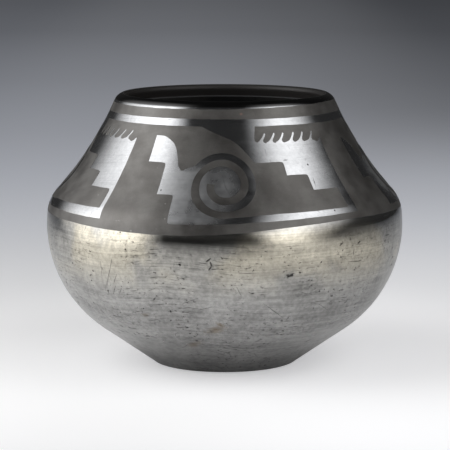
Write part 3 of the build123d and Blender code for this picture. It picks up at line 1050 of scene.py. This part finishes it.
@dataclass
class ClayBody:
    """The moulded base and the nine courses of clay laid on it, with sloping laps between them."""

    form: JarForm
    floor: float = 0.008
    floor_corner: float = 0.009
    lap_drop: float = 0.005
    segments: int = 144
    row_step: float = 0.0022
    scrape_depth: float = 0.00035
    slip_foot_angle: float = -62.0
    slip_return: float = 0.007
    rim_flat: float = 0.008
    rim_fade_rows: int = 7
    rim_flats: int = 6
    foot_flats: int = 5
    corner_flats: int = 9
    floor_rings: int = 14
    underside_shares: tuple[float, ...] = (0.0, 0.25, 0.5, 0.75, 1.0)
    lean_shares: tuple[float, ...] = (0.0, 0.33, 0.67)
    lower_names: tuple[str, ...] = ("lower_wall_coil_1", "lower_wall_coil_2", "belly_coil_1", "belly_coil_2")
    lower_shares: tuple[float, ...] = (0.206, 0.4, 0.606, 0.812)
    upper_names: tuple[str, ...] = ("shoulder_coil", "neck_coil_1", "neck_coil_2", "neck_coil_3", "rim_coil")
    upper_shares: tuple[float, ...] = (0.02, 0.241, 0.424, 0.606, 0.789)

    @cached_property
    def joints(self) -> dict[str, float]:
        """Works out where each course starts.

        Returns:
            The height of each joint outside, by the name of the course over it.
        """
        belly = self.form.belly_height
        joints = {name: share * belly for name, share in zip(self.lower_names, self.lower_shares)}
        for name, share in zip(self.upper_names, self.upper_shares):
            joints[name] = belly + share * (self.form.height - belly)
        return joints

    @cached_property
    def slip_end(self) -> float:
        """The normal angle of the inner face where the slip ends inside the lip."""
        neck = self.form.arcs["inner_neck"]
        return neck.angle_at(neck.at(neck.end)[1] - self.slip_return)

    def scraping(self, angles: np.ndarray, heights: np.ndarray) -> np.ndarray:
        """Returns how far the scraper's strokes leave the inner face off its true form, either way."""
        return self.scrape_depth * wavy(SCRAPER_WAVES, angles, heights)

    def inside(self, section: Section, high: float, low: float, fade: int = 1) -> None:
        """Adds the inner face between two heights of the outer face, in rows close enough to bend smoothly.

        Args:
            section: The section that it joins.
            high: The upper height.
            low: The lower one.
            fade: Over how many rows from the top the scraper's marks grow to their full depth.
        """
        count = max(2, math.ceil((high - low) / self.row_step))
        heights = np.linspace(high, low, count + 1) - self.lap_drop
        for row, (place, normal) in enumerate(self.form.under(heights, self.form.wall)):
            section.add(place, normal, min(1.0, (row + 1) / fade))

    def base(self) -> bpy.types.Object:
        """Makes the moulded base: the floor, the rounded foot edge and the start of the wall.

        Returns:
            The base.
        """
        form = self.form
        foot = form.arcs["foot"]
        flare = form.arcs["belly"].start
        first = self.joints["lower_wall_coil_1"]
        section = Section()
        for share in self.underside_shares:
            section.add((foot.at(foot.start)[0] * share, 0.0))
        section.add_arc(foot, np.linspace(foot.start, self.slip_foot_angle, self.foot_flats)[1:])
        section.add(foot.at(self.slip_foot_angle, -form.slip))
        section.add_flats(form, (first / 2, first))

        inside = form.under((first - self.lap_drop,), form.wall)[0][0]
        lean = math.radians(flare)
        corner_height = self.floor + self.floor_corner
        rise = corner_height - inside[1]
        corner_radius = inside[0] - (self.floor_corner + rise * math.sin(lean)) / math.cos(lean)
        corner = Arc(corner_radius, corner_height, self.floor_corner, -QUARTER_TURN, flare)
        for share in self.lean_shares:
            section.add(along(inside, corner.at(corner.end), share), flare, 1.0)
        section.add_arc(corner, np.linspace(corner.end, corner.start, self.corner_flats), weight=1.0)
        for share in np.linspace(1.0, 0.0, self.floor_rings)[1:]:
            place = (corner.at(corner.start)[0] * share, self.floor)
            section.add(place, -QUARTER_TURN, float(min(1.0, share * 3)))
        return section.turned("moulded_base", self.segments, self.scraping)

    def course(self, name: str, low: float, high: float) -> bpy.types.Object:
        """Makes one course of clay between two laps.

        Args:
            name: The course's name.
            low: Where it starts, outside.
            high: Where it ends, outside.

        Returns:
            The course.
        """
        section = Section()
        section.add_flats(self.form, (low, (low + high) / 2, high))
        self.inside(section, high, low)
        return section.turned(name, self.segments, self.scraping)

    def rim(self, low: float) -> bpy.types.Object:
        """Makes the rim course, which is rounded over under the slip.

        Args:
            low: Where it starts, outside.

        Returns:
            The course.
        """
        form = self.form
        neck = form.arcs["inner_neck"]
        section = Section()
        section.add_flats(form, (low, low + self.rim_flat))
        for arc in (form.arcs["bevel"], form.arcs["crest"]):
            section.add_arc(arc, np.linspace(arc.start, arc.end, self.rim_flats), -form.slip)
        section.add(neck.at(self.slip_end, form.slip - form.wall))
        section.add(neck.at(self.slip_end, -form.wall))
        start = neck.at(self.slip_end)[1] + self.lap_drop - self.row_step
        self.inside(section, start, low, self.rim_fade_rows)
        return section.turned("rim_coil", self.segments, self.scraping)

    def build(self, material: bpy.types.Material) -> None:
        """Builds and dresses every course.

        Args:
            material: The clay's material.
        """
        names = list(self.joints)
        heights = list(self.joints.values())
        dress(self.base(), "moulded_base", Slot.CLAY, material)
        for name, low, high in zip(names, heights, heights[1:]):
            dress(self.course(name, low, high), name, Slot.CLAY, material)
        dress(self.rim(heights[-1]), names[-1], Slot.CLAY, material)


@dataclass
class SlipCoat:
    """The coat of fine slip over the outside and the lip, rubbed smooth but not quite true."""

    form: JarForm
    body: ClayBody
    segments: int = 288
    row_step: float = 0.00115
    lip_step: float = 0.0005
    flat_count: int = 4
    return_count: int = 8
    crest_weight: float = 0.4
    hand_start: float = -55.0

    def shell(self, section: Section) -> None:
        """Adds the visible face, from the foot's edge up over the lip and down inside it.

        Args:
            section: The coat's section.
        """
        arcs = self.form.arcs
        for name in ("foot", "belly", "shoulder", "neck", "bevel", "crest"):
            arc = arcs[name]
            start = self.body.slip_foot_angle if name == "foot" else arc.start
            step = self.lip_step if name in ("bevel", "crest") else self.row_step
            count = max(3, math.ceil(abs(arc.radius * math.radians(arc.end - start)) / step))
            weight = self.crest_weight if name == "crest" else 1.0
            for angle in np.linspace(start, arc.end, count + 1)[:-1]:
                section.add(arc.at(angle), angle, weight if angle > self.hand_start else 0.0)
            if name == "foot":
                self.cone(section, arc.at(arc.end), arcs["belly"].at(arcs["belly"].start), arc.end)
        neck = arcs["inner_neck"]
        section.add_arc(neck, np.linspace(neck.end, self.body.slip_end, self.return_count), -self.form.wall)

    def cone(self, section: Section, low: Place, high: Place, normal: float) -> None:
        """Adds the straight lower wall.

        Args:
            section: The coat's section.
            low: Where it starts.
            high: Where it ends.
            normal: Its normal angle.
        """
        count = math.ceil(math.dist(low, high) / self.row_step)
        for step in range(count):
            section.add(along(low, high, step / count), normal, 1.0)

    def back(self, section: Section) -> None:
        """Adds the hidden face that lies on the clay, from inside the lip down to the foot's edge.

        Args:
            section: The coat's section.
        """
        form = self.form
        section.add(form.arcs["inner_neck"].at(self.body.slip_end, form.slip - form.wall))
        for arc in (form.arcs["crest"], form.arcs["bevel"]):
            section.add_arc(arc, np.linspace(arc.end, arc.start, self.flat_count + 1), -form.slip)
        joints = list(self.body.joints.values())
        heights = [joints[-1]]
        for low, high in reversed(list(zip(joints, joints[1:]))):
            heights += [(low + high) / 2, low]
        section.add_flats(form, [*heights, joints[0] / 2])
        section.add(form.arcs["foot"].at(self.body.slip_foot_angle, -form.slip))

    def build(self, material: bpy.types.Material) -> None:
        """Builds and dresses the coat.

        Args:
            material: The burnished slip's material.
        """
        section = Section()
        self.shell(section)
        self.back(section)
        piece = section.turned("burnished_slip", self.segments, self.form.hand)
        dress(piece, "burnished_slip", Slot.SLIP, material)


@dataclass
class PaintFilm:
    """Lays an outline on the slip as a thin film of paint with its own edge."""

    form: JarForm
    lift: float = 0.00007
    sink: float = 0.00005
    ring_segments: int = 720
    edge_step: float = 0.0006
    grid_step: float = 0.0017
    edge_gap_share: float = 0.45
    tremble: float = 0.00016
    tremble_reach: float = 0.08
    tremble_heights: Span = (0.1, 0.15)
    slow_rate: float = 140.0
    quick_rate: float = 620.0
    quick_share: float = 0.35

    @property
    def flat_radius(self) -> float:
        """The radius at which outlines are laid out flat."""
        return self.form.belly_radius * 0.8

    def ring(self, name: str, low: HandLine, high: HandLine, rows: int) -> bpy.types.Object:
        """Makes a line that runs right round the jar.

        Args:
            name: The piece's name.
            low: Its lower edge.
            high: Its upper edge.
            rows: How many flats go across it.

        Returns:
            The piece.
        """
        segments = self.ring_segments
        angles = np.arange(segments) * FULL_TURN / segments
        edges = []
        for line, height in zip((low, high), self.tremble_heights):
            edges.append(line.at(angles) + np.array([self.shake(angle, height)[1] for angle in angles]))
        points = []
        for offset in (self.lift, -self.sink):
            for share in np.linspace(0.0, 1.0, rows + 1):
                points.append(self.form.points(angles, edges[0] + share * (edges[1] - edges[0]), offset))
        faces = []
        order = [*range(rows + 1), *range(2 * rows + 1, rows, -1)]
        for lower, upper in zip(order, order[1:] + order[:1]):
            for i in range(segments):
                after = (i + 1) % segments
                faces.append((lower * segments + i, lower * segments + after,
                              upper * segments + after, upper * segments + i))
        return mesh_object(name, np.concatenate(points), faces)

    def shake(self, angle: float, height: float) -> Vector:
        """Finds how far the brush strays.

        Args:
            angle: An angle round the jar, in degrees.
            height: A height above the foot.

        Returns:
            The stray there.
        """
        turn = math.radians(angle)
        place = Vector((math.sin(turn), -math.cos(turn), 0.0)) * self.tremble_reach
        place.z = height
        slow = noise.noise_vector(place * self.slow_rate)
        quick = noise.noise_vector(place * self.quick_rate)
        return (slow + quick * self.quick_share) * self.tremble

    def edge(self, outline: Sequence[Place], middle: float) -> np.ndarray:
        """Walks round an outline in short steps with an unsteady hand.

        Args:
            outline: Angles from the middle of the repeat, and heights.
            middle: The angle of that middle.

        Returns:
            The edge's points: distance round the jar in mm at a fixed radius, and height in mm.
        """
        walked = []
        for here, after in zip(outline, [*outline[1:], outline[0]]):
            across = math.radians(after[0] - here[0]) * self.flat_radius
            count = max(1, round(math.hypot(across, after[1] - here[1]) / self.edge_step))
            for step in range(count):
                angle, height = along(here, after, step / count)
                stray = self.shake(angle + middle, height)
                walked.append((angle + math.degrees(stray.x / self.flat_radius), height + stray.y))
        places = np.array(walked)
        return np.stack([np.radians(places[:, 0]) * self.flat_radius / MM, places[:, 1] / MM], axis=-1)

    def inner_grid(self, edge: np.ndarray) -> np.ndarray:
        """Finds evenly spread points inside an edge and a little away from it.

        Args:
            edge: The edge's points, in mm.

        Returns:
            The points, in mm.
        """
        step = self.grid_step / MM
        low, high = edge.min(axis=0), edge.max(axis=0)
        across, up = np.meshgrid(np.arange(low[0], high[0], step), np.arange(low[1], high[1], step))
        grid = np.stack([across.ravel(), up.ravel()], axis=-1)
        inside = np.zeros(len(grid), bool)
        for (x0, y0), (x1, y1) in zip(edge, np.roll(edge, -1, axis=0)):
            if y0 == y1:
                continue
            crosses = (y0 > grid[:, 1]) != (y1 > grid[:, 1])
            inside ^= crosses & (grid[:, 0] < (x1 - x0) * (grid[:, 1] - y0) / (y1 - y0) + x0)
        grid = grid[inside]
        across, up = (grid[:, None, i] - edge[None, :, i] for i in (0, 1))
        return grid[np.min(np.hypot(across, up), axis=1) > self.edge_gap_share * step]

    def patch(self, name: str, outline: Sequence[Place], middle: float) -> bpy.types.Object:
        """Makes a painted patch.

        Args:
            name: The piece's name.
            outline: Angles from the middle of the repeat and heights, anticlockwise from outside.
            middle: The angle of that middle.

        Returns:
            The piece.
        """
        edge = self.edge(outline, middle)
        flat = np.concatenate([edge, self.inner_grid(edge)])
        loop = list(range(len(edge)))
        found = geometry.delaunay_2d_cdt([Vector(place) for place in flat.tolist()], [], [loop], 1, WELD_MM)
        places = np.array([tuple(place) for place in found[0]])
        triangles = [tuple(face) for face in found[2]]
        angles = np.degrees(places[:, 0] * MM / self.flat_radius) + middle
        heights = places[:, 1] * MM
        count = len(places)
        points = [self.form.points(angles, heights, offset) for offset in (self.lift, -self.sink)]
        faces = [*triangles, *(tuple(count + point for point in reversed(face)) for face in triangles)]
        sides = {}
        for face in triangles:
            for a, b in zip(face, face[1:] + face[:1]):
                if not sides.pop((b, a), None):
                    sides[(a, b)] = True
        faces += [(b, a, count + a, count + b) for a, b in sides]
        return mesh_object(name, np.concatenate(points), faces)


@dataclass
class PaintedLines:
    """The matte line under the lip and the one along the shoulder."""

    film: PaintFilm
    rim_rows: int = 5
    shoulder_rows: int = 8
    rim_low: HandLine = HandLine((
        (-80, 149.5), (-30, 149.7), (20, 149.6), (70, 149.9), (140, 149.4), (210, 149.8),
    ))
    rim_high: HandLine = HandLine((
        (-80, 154.6), (-40, 154.8), (0, 155.0), (30, 155.6), (60, 156.2), (90, 156.2), (140, 155.2),
        (200, 154.8),
    ))
    shoulder_low: HandLine = HandLine((
        (-68, 90.7), (-56, 90.6), (-47, 89.8), (-34, 89.2), (-25, 88.7), (-16, 88.6), (1, 89.8), (8, 90.9),
        (20, 92.9), (37, 94.4), (47, 94.8), (75, 94.0), (110, 91.6), (150, 90.3), (190, 89.8), (235, 91.1),
        (265, 91.2),
    ))
    shoulder_high: HandLine = HandLine((
        (-68, 95.4), (-40, 94.8), (-18, 94.8), (0, 95.2), (10, 96.0), (30, 97.4), (45, 98.2), (75, 97.8),
        (110, 96.0), (150, 95.2), (190, 95.0), (235, 95.4),
    ))

    def build(self, material: bpy.types.Material) -> None:
        """Builds and dresses both lines.

        Args:
            material: The matte paint's material.
        """
        lines = (
            ("rim_line", self.rim_low, self.rim_high, self.rim_rows),
            ("shoulder_line", self.shoulder_low, self.shoulder_high, self.shoulder_rows),
        )
        for name, low, high, rows in lines:
            dress(self.film.ring(name, low, high, rows), name, Slot.PAINT, material)


@dataclass(frozen=True)
class Hook:
    """The polished hook left of a spiral, which the painter varies from repeat to repeat."""

    left: float
    top: float
    steps: tuple[Place, ...]
    bend: tuple[Place, ...]


USUAL_HOOK = Hook(
    left=-32.0,
    top=0.892,
    steps=((-24.0, 0.618), (-17.9, 0.295)),
    bend=((-18.6, 0.6), (-19.5, 0.674), (-20.7, 0.752), (-22.3, 0.812), (-24.7, 0.857), (-27.7, 0.888)),
)
NARROW_HOOK = Hook(
    left=-27.0,
    top=0.81,
    steps=((-21.0, 0.375),),
    bend=((-18.7, 0.596), (-19.6, 0.655), (-20.9, 0.715), (-22.6, 0.763), (-24.6, 0.797)),
)


@dataclass
class DesignRepeat:
    """One repeat of the neck's design: fringed bar, stepped pillar, and wave with its spiral and terrace."""

    film: PaintFilm
    side: Side
    hook: Hook
    band_low: float
    band_high: float
    terrace_shift: float = 0.0
    terrace_drop: float = 0.0
    pillar_left: float = -42.7
    corner_turn: float = 1.6
    corner_share: float = 0.032
    corner_pull: float = 0.6
    short_strokes: int = 4
    hook_strokes: int = 5
    long_strokes: int = 6
    fringe_start: tuple[Place, ...] = ((14.0, 1.0), (13.2, 0.87), (13.2, 0.848), (13.7, 0.838))
    fringe_end: tuple[Place, ...] = ((44.6, 0.808), (46.0, 0.826), (46.9, 0.852))
    slit_tops: tuple[float, ...] = (18.1, 22.5, 27.2, 32.4, 37.7, 43.2)
    slit_wander: float = 0.18
    slit_rhythm: float = 2.6
    slit_left: tuple[Place, ...] = (
        (-3.9, 0.831), (-3.3, 0.836), (-2.7, 0.846), (-1.8, 0.868), (-1.05, 0.891), (-0.5, 0.912),
    )
    slit_right: tuple[Place, ...] = (
        (0.0, 0.925), (0.42, 0.916), (0.0, 0.892), (-0.75, 0.866), (-1.1, 0.847), (-0.85, 0.829),
        (0.05, 0.821),
    )
    terrace: tuple[Place, ...] = (
        (24.0, 0.622), (24.0, 0.483), (33.0, 0.483), (33.0, 0.323), (44.0, 0.323), (44.0, 0.124),
    )
    terrace_foot: tuple[Place, ...] = ((17.0, 0.108), (11.0, 0.095), (5.5, 0.083))
    wave_edge: tuple[Place, ...] = ((-11.0, 1.0), (-3.0, 0.918), (3.5, 0.848), (8.0, 0.75), (12.0, 0.622))
    notch: tuple[Place, ...] = ((-15.0, 0.56), (-16.8, 0.54), (-18.2, 0.573))
    spiral_angle: float = -0.3
    spiral_share: float = 0.397
    reach_angle: float = 11.6
    reach_share: float = 0.295
    spacing: float = 0.474
    band_width: float = 0.242
    start_angle: float = -89.0
    mouth_turns: float = 0.65
    turns: float = 1.27
    points_per_turn: int = 72

    def rounded(self, before: Place, corner: Place, after: Place) -> list[Place]:
        """Rounds a painted corner between two sides that are level or upright.

        Args:
            before: The place before the corner.
            corner: The corner.
            after: The place after it.

        Returns:
            The places that stand for the corner.
        """
        ends = []
        for other in (before, after):
            if abs(other[0] - corner[0]) > abs(other[1] - corner[1]):
                ends.append((corner[0] + math.copysign(self.corner_turn, other[0] - corner[0]), corner[1]))
            else:
                ends.append((corner[0], corner[1] + math.copysign(self.corner_share, other[1] - corner[1])))
        start, end = ends
        halfway = [(start[i] + end[i]) / 2 for i in (0, 1)]
        middle = along(halfway, corner, self.corner_pull)
        return [*smooth_through([start, middle, end], self.short_strokes), end]

    def fringe_outline(self) -> list[Place]:
        """Draws the bar with tabs that hang between slanted slits.

        Returns:
            Its outline, as angles and shares of the band.
        """
        right = QUARTER_TURN + self.pillar_left
        run = list(self.fringe_start[1:])
        for index, top in enumerate(self.slit_tops):
            wander = self.slit_wander * math.sin(self.slit_rhythm * index + self.side.value)
            run += [(top + wander + aside, share) for aside, share in (*self.slit_left, *self.slit_right)]
        run += self.fringe_end
        tabs = smooth_through(run, self.short_strokes)
        return [self.fringe_start[0], *tabs, (right, self.fringe_end[-1][1]), (right, 1.0)]

    def pillar_outline(self) -> list[Place]:
        """Draws the upright pillar left of the hook.

        Returns:
            Its outline, as angles and shares of the band.
        """
        here = self.hook.left
        inner: list[Place] = [(here, 1.0)]
        for outer, share in self.hook.steps:
            inner += [(here, share), *self.rounded((here, share), (outer, share), (outer, 0.0))]
            here = outer
        inner.append((here, 0.0))
        return [(self.pillar_left, 1.0), (self.pillar_left, 0.0), *reversed(inner)]

    def spiral_line(self, start: float, end: float, offset: float) -> list[Place]:
        """Walks along one side of the spiral's band.

        Args:
            start: Where it starts, in turns from the outer end.
            end: Where it ends.
            offset: Half the band's width, outwards or inwards.

        Returns:
            Angles and shares of the band.
        """
        count = max(3, round(abs(end - start) * self.points_per_turn))
        line = []
        for turns in np.linspace(start, end, count + 1):
            reach = 1.0 - self.spacing * turns + offset
            turn = math.radians(self.start_angle - FULL_TURN * turns)
            line.append((self.spiral_angle + self.reach_angle * reach * math.cos(turn),
                         self.spiral_share + self.reach_share * reach * math.sin(turn)))
        return line

    def wave_outline(self) -> list[Place]:
        """Draws the wave over the hook, its spiral and the terrace.

        Returns:
            Its outline, as angles and shares of the band.
        """
        half = self.band_width / 2
        hook = self.hook
        top = (hook.left, hook.top)
        line: list[Place] = [top, (hook.left, 1.0), *smooth_through(self.wave_edge, self.long_strokes)]
        corners = [(angle + self.terrace_shift, share - self.terrace_drop) for angle, share in self.terrace]
        corners[0] = (corners[0][0], self.terrace[0][1])
        corners.append(self.terrace_foot[0])
        here = self.wave_edge[-1]
        line.append(here)
        for index in range(0, len(corners) - 2, 2):
            line += self.rounded(here, corners[index], corners[index + 1])
            here = corners[index + 1]
            line.append(here)
        outer = self.spiral_line(0.0, self.turns, half)
        inner = self.spiral_line(self.turns, -self.mouth_turns, -half)
        line += smooth_through([*self.terrace_foot, outer[0]], self.long_strokes)
        line += [*outer, *inner[:-1]]
        line += smooth_through([inner[-1], *self.notch], self.hook_strokes)
        line += smooth_through([self.notch[-1], *hook.bend, top], self.hook_strokes)
        return list(reversed(line))

    def build(self, material: bpy.types.Material) -> None:
        """Builds and dresses the repeat's three pieces.

        Args:
            material: The matte paint's material.
        """
        tall = self.band_high - self.band_low
        outlines = {
            "fringe": self.fringe_outline(),
            "pillar": self.pillar_outline(),
            "wave": self.wave_outline(),
        }
        for word, outline in outlines.items():
            name = f"{self.side.word}_{word}"
            places = [(angle, self.band_low + share * tall) for angle, share in outline]
            dress(self.film.patch(name, places, self.side.middle), name, Slot.PAINT, material)


@dataclass(frozen=True)
class Softbox:
    """A lamp behind a diffusing sheet: its direction from the jar, size, roll, radiance and soft edges."""

    name: str
    azimuth: float
    elevation: float
    distance: float
    width: float
    tall: float
    radiance: float
    roll: float
    edges: tuple[float, float, float, float]
    aim_height: float = 0.08

    def build(self) -> None:
        """Adds the lamp."""
        light = bpy.data.lights.new(self.name, "AREA")
        light.shape = "RECTANGLE"
        light.size = self.width
        light.size_y = self.tall
        light.energy = self.radiance * math.pi * self.width * self.tall
        lamp = bpy.data.objects.new(self.name, light)
        lamp.visible_camera = False
        turn, rise = math.radians(self.azimuth), math.radians(self.elevation)
        out = Vector((math.cos(rise) * math.sin(turn), -math.cos(rise) * math.cos(turn), math.sin(rise)))
        lamp.location = out * self.distance + Vector((0.0, 0.0, self.aim_height))
        facing = (-out).to_track_quat("-Z", "Y").to_matrix()
        lamp.rotation_euler = (facing @ Matrix.Rotation(math.radians(self.roll), 3, "Z")).to_euler()
        bpy.context.scene.collection.objects.link(lamp)
        self.soften(light)

    def soften(self, light: bpy.types.Light) -> None:
        """Dims the sheet towards its edges, as cloth in front of a bulb is.

        Args:
            light: The lamp's light.
        """
        light.use_nodes = True
        sheet = Sheet(light.node_tree)
        across, up, _ = sheet.parts(sheet.add("ShaderNodeNewGeometry").outputs["Parametric"])
        left, right, bottom, top = self.edges
        strength = across.ramp(0.0, left) * across.ramp(1.0 - right, 1.0, 1.0, 0.0)
        strength = strength * up.ramp(0.0, bottom) * up.ramp(1.0 - top, 1.0, 1.0, 0.0)
        sheet.feed(light.node_tree.nodes["Emission"].inputs["Strength"], strength)


@dataclass
class Studio:
    """The pale floor, the soft lamps, the dim room and the camera."""

    camera_distance: float = 1.4
    camera_height: float = 0.2784
    camera_pitch: float = 8.05
    camera_aside: float = 0.00018
    camera_sight: float = 30.0
    lens: float = 191.1
    floor_radius: float = 8.0
    floor_inner: float = 0.1
    floor_sink: float = 0.0002
    floor_rings: int = 40
    floor_segments: int = 96
    floor_colour: Colour = (0.8, 0.8, 0.8)
    cool_distance: float = 0.7
    room_seen: Colour = (0.093, 0.1, 0.11)
    room_light: Colour = (0.025, 0.025, 0.025)
    near_tint: Colour = (1.02, 1.0, 0.99)
    cooling: Colour = (-0.065, 0.0, 0.13)
    camera_side_shade_span: Span = (-1.0, -0.24, 0.02, 1.0)
    foot_shadow_span: Span = (0.04, 0.072, 0.32, 1.0)
    side_shade_span: Span = (0.2, 0.45)
    right_span: Span = (-0.03, 0.094, 0.0, 0.44)
    far_span: Span = (0.6, 1.7)
    tilt_span: Span = (-0.09, 0.09, 0.22, -0.2)
    near_span: Span = (0.1, 0.8, 1.0, 0.0)
    mirrored_glow: float = 0.6
    softboxes: tuple[Softbox, ...] = (
        Softbox("left_softbox", -86.4, 18.9, 0.524, 1.11, 1.43, 4.2, 24.2, (0.7, 0.3, 0.56, 0.6)),
        Softbox("right_softbox", 55.3, 28.9, 0.663, 0.862, 1.45, 2.95, -34.5, (0.55, 0.7, 0.21, 0.33)),
    )
    floor_glow: tuple[Place, ...] = (
        (0.20, 0.37), (0.30, 0.31), (0.42, 0.31), (0.62, 0.31), (0.93, 0.29), (1.35, 0.245), (2.1, 0.185),
        (3.3, 0.12), (4.4, 0.095), (8.0, 0.06),
    )

    def camera(self) -> None:
        """Adds the camera at the photograph's viewing angle."""
        eye = bpy.data.cameras.new("camera")
        eye.lens = self.lens
        eye.clip_end = self.camera_sight
        camera = bpy.data.objects.new("camera", eye)
        camera.location = (self.camera_aside, -self.camera_distance, self.camera_height)
        camera.rotation_euler = (math.radians(QUARTER_TURN - self.camera_pitch), 0.0, 0.0)
        bpy.context.scene.collection.objects.link(camera)
        bpy.context.scene.camera = camera

    def world(self) -> None:
        """Makes the dim room: grey behind the floor, nearly dark in the jar's reflections."""
        world = bpy.data.worlds.new("room")
        bpy.context.scene.world = world
        world.use_nodes = True
        sheet = Sheet(world.node_tree)
        seen = sheet.add("ShaderNodeLightPath").outputs["Is Camera Ray"]
        back = world.node_tree.nodes["Background"]
        sheet.feed(back.inputs["Color"], sheet.blend(seen, self.room_light, self.room_seen))

    def floor(self) -> None:
        """Makes the pale floor, which falls off into the room."""
        count = self.floor_segments
        points = [(0.0, 0.0, 0.0)]
        faces = []
        for ring, radius in enumerate(np.geomspace(self.floor_inner, self.floor_radius, self.floor_rings)):
            here = 1 + ring * count
            for i in range(count):
                turn = math.tau * i / count
                points.append((radius * math.cos(turn), radius * math.sin(turn), 0.0))
                after = (i + 1) % count
                inner = (here - count + after, here - count + i) if ring else (0,)
                faces.append((here + i, here + after, *inner))
        mesh = bpy.data.meshes.new("floor")
        mesh.from_pydata(points, [], faces)
        floor = bpy.data.objects.new("floor", mesh)
        floor.location.z = -self.floor_sink
        bpy.context.scene.collection.objects.link(floor)
        floor.data.materials.append(self.floor_material())

    def glow_ramp(self, sheet: Sheet, away: Value) -> bpy.types.NodeSocket:
        """Colours the floor's glow, warmer near the jar and cooler far off.

        Args:
            sheet: The floor's sheet.
            away: The distance from the jar's axis.

        Returns:
            The glow's colour.
        """
        ramp = sheet.add("ShaderNodeValToRGB")
        reach = self.floor_glow[-1][0]
        sheet.feed(ramp.inputs[0], away / reach)
        steps = ramp.color_ramp.elements
        while len(steps) < len(self.floor_glow):
            steps.new(0.5)
        for step, (distance, grey) in zip(steps, self.floor_glow):
            step.position = distance / reach
            cool = min(1.0, distance / self.cool_distance)
            tint = (near + change * cool for near, change in zip(self.near_tint, self.cooling))
            step.color = (*(grey * share for share in tint), 1.0)
        return ramp.outputs[0]

    def floor_material(self) -> bpy.types.Material:
        """Makes the floor's material: pale and dull, with the photograph's slow fall of light over it.

        Returns:
            The material.
        """
        material, sheet, shader = new_material("pale_floor")
        material.node_tree.nodes.remove(shader)
        x, y, _ = sheet.parts(sheet.add("ShaderNodeNewGeometry").outputs["Position"])
        away = sheet.math("SQRT", x * x + y * y)
        rays = sheet.add("ShaderNodeLightPath").outputs
        camera, mirrored = (Value(sheet, rays[name]) for name in ("Is Camera Ray", "Is Glossy Ray"))

        # Painted shade: in the jar's reflections the floor darkens towards the camera's side, with a painted
        # shadow under the foot; for the camera its lamp-lit sides are painted darker
        front = y.ramp(*self.camera_side_shade_span) * away.ramp(*self.foot_shadow_span)
        beyond = sheet.math("ABSOLUTE", x).ramp(*self.side_shade_span) * camera
        shade = (mirrored * front + (1.0 - mirrored)) * (1.0 - beyond)
        diffuse = sheet.add("ShaderNodeBsdfDiffuse")
        sheet.fill(diffuse, sheet.blend(1.0, self.floor_colour, shade, "MULTIPLY"))

        # For the camera the light falls off to the right far behind, and a little to the left near the jar
        bearing = x / (y + self.camera_distance)
        aside = bearing.ramp(*self.right_span) * y.ramp(*self.far_span)
        tilt = bearing.ramp(*self.tilt_span) * y.ramp(*self.near_span)
        seen = camera * (1.0 - aside - tilt) + mirrored * (front * self.mirrored_glow)
        glow = sheet.add("ShaderNodeEmission")
        sheet.fill(glow, self.glow_ramp(sheet, away), seen)
        both = sheet.fill(sheet.add("ShaderNodeAddShader"), diffuse.outputs[0], glow.outputs[0])
        sheet.feed(material.node_tree.nodes["Material Output"].inputs["Surface"], both)
        return material

    def build(self) -> None:
        """Builds the studio."""
        self.camera()
        self.world()
        self.floor()
        for box in self.softboxes:
            box.build()


def band_of_design() -> tuple[float, float]:
    """Returns the lowest and highest height of the neck's design, from the frame."""
    corners = [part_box(f"{side.word}_{piece}") for side in Side for piece in ("pillar", "wave")]
    return min(low.z for low, _ in corners), max(high.z for _, high in corners)


def main() -> None:
    """Builds every piece in the order that a potter makes them, and then the studio."""
    logging.basicConfig(level=logging.INFO, format="%(name)s: %(message)s")
    low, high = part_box("burnished_slip")
    form = JarForm(height=high.z, belly_radius=(high.x - low.x) / 2)
    effects = Effects()
    paint = PaintFinish().material(effects)

    body = ClayBody(form)
    body.build(ClayFinish().material(effects))
    SlipCoat(form, body).build(BurnishedFinish().material(effects))

    # The brush's tremble starts from one number, so that each run paints the same edges
    tremble_start = 7
    noise.seed_set(tremble_start)
    film = PaintFilm(form)
    PaintedLines(film).build(paint)
    band = band_of_design()
    for side in Side:
        hook = NARROW_HOOK if side is Side.RIGHT else USUAL_HOOK
        shift = {"terrace_shift": 1.5, "terrace_drop": 0.012} if side is Side.LEFT else {}
        DesignRepeat(film, side, hook, *band, **shift).build(paint)

    Studio().build()
    bpy.context.scene.view_settings.view_transform = "Standard"


if __name__ == "__main__":
    main()
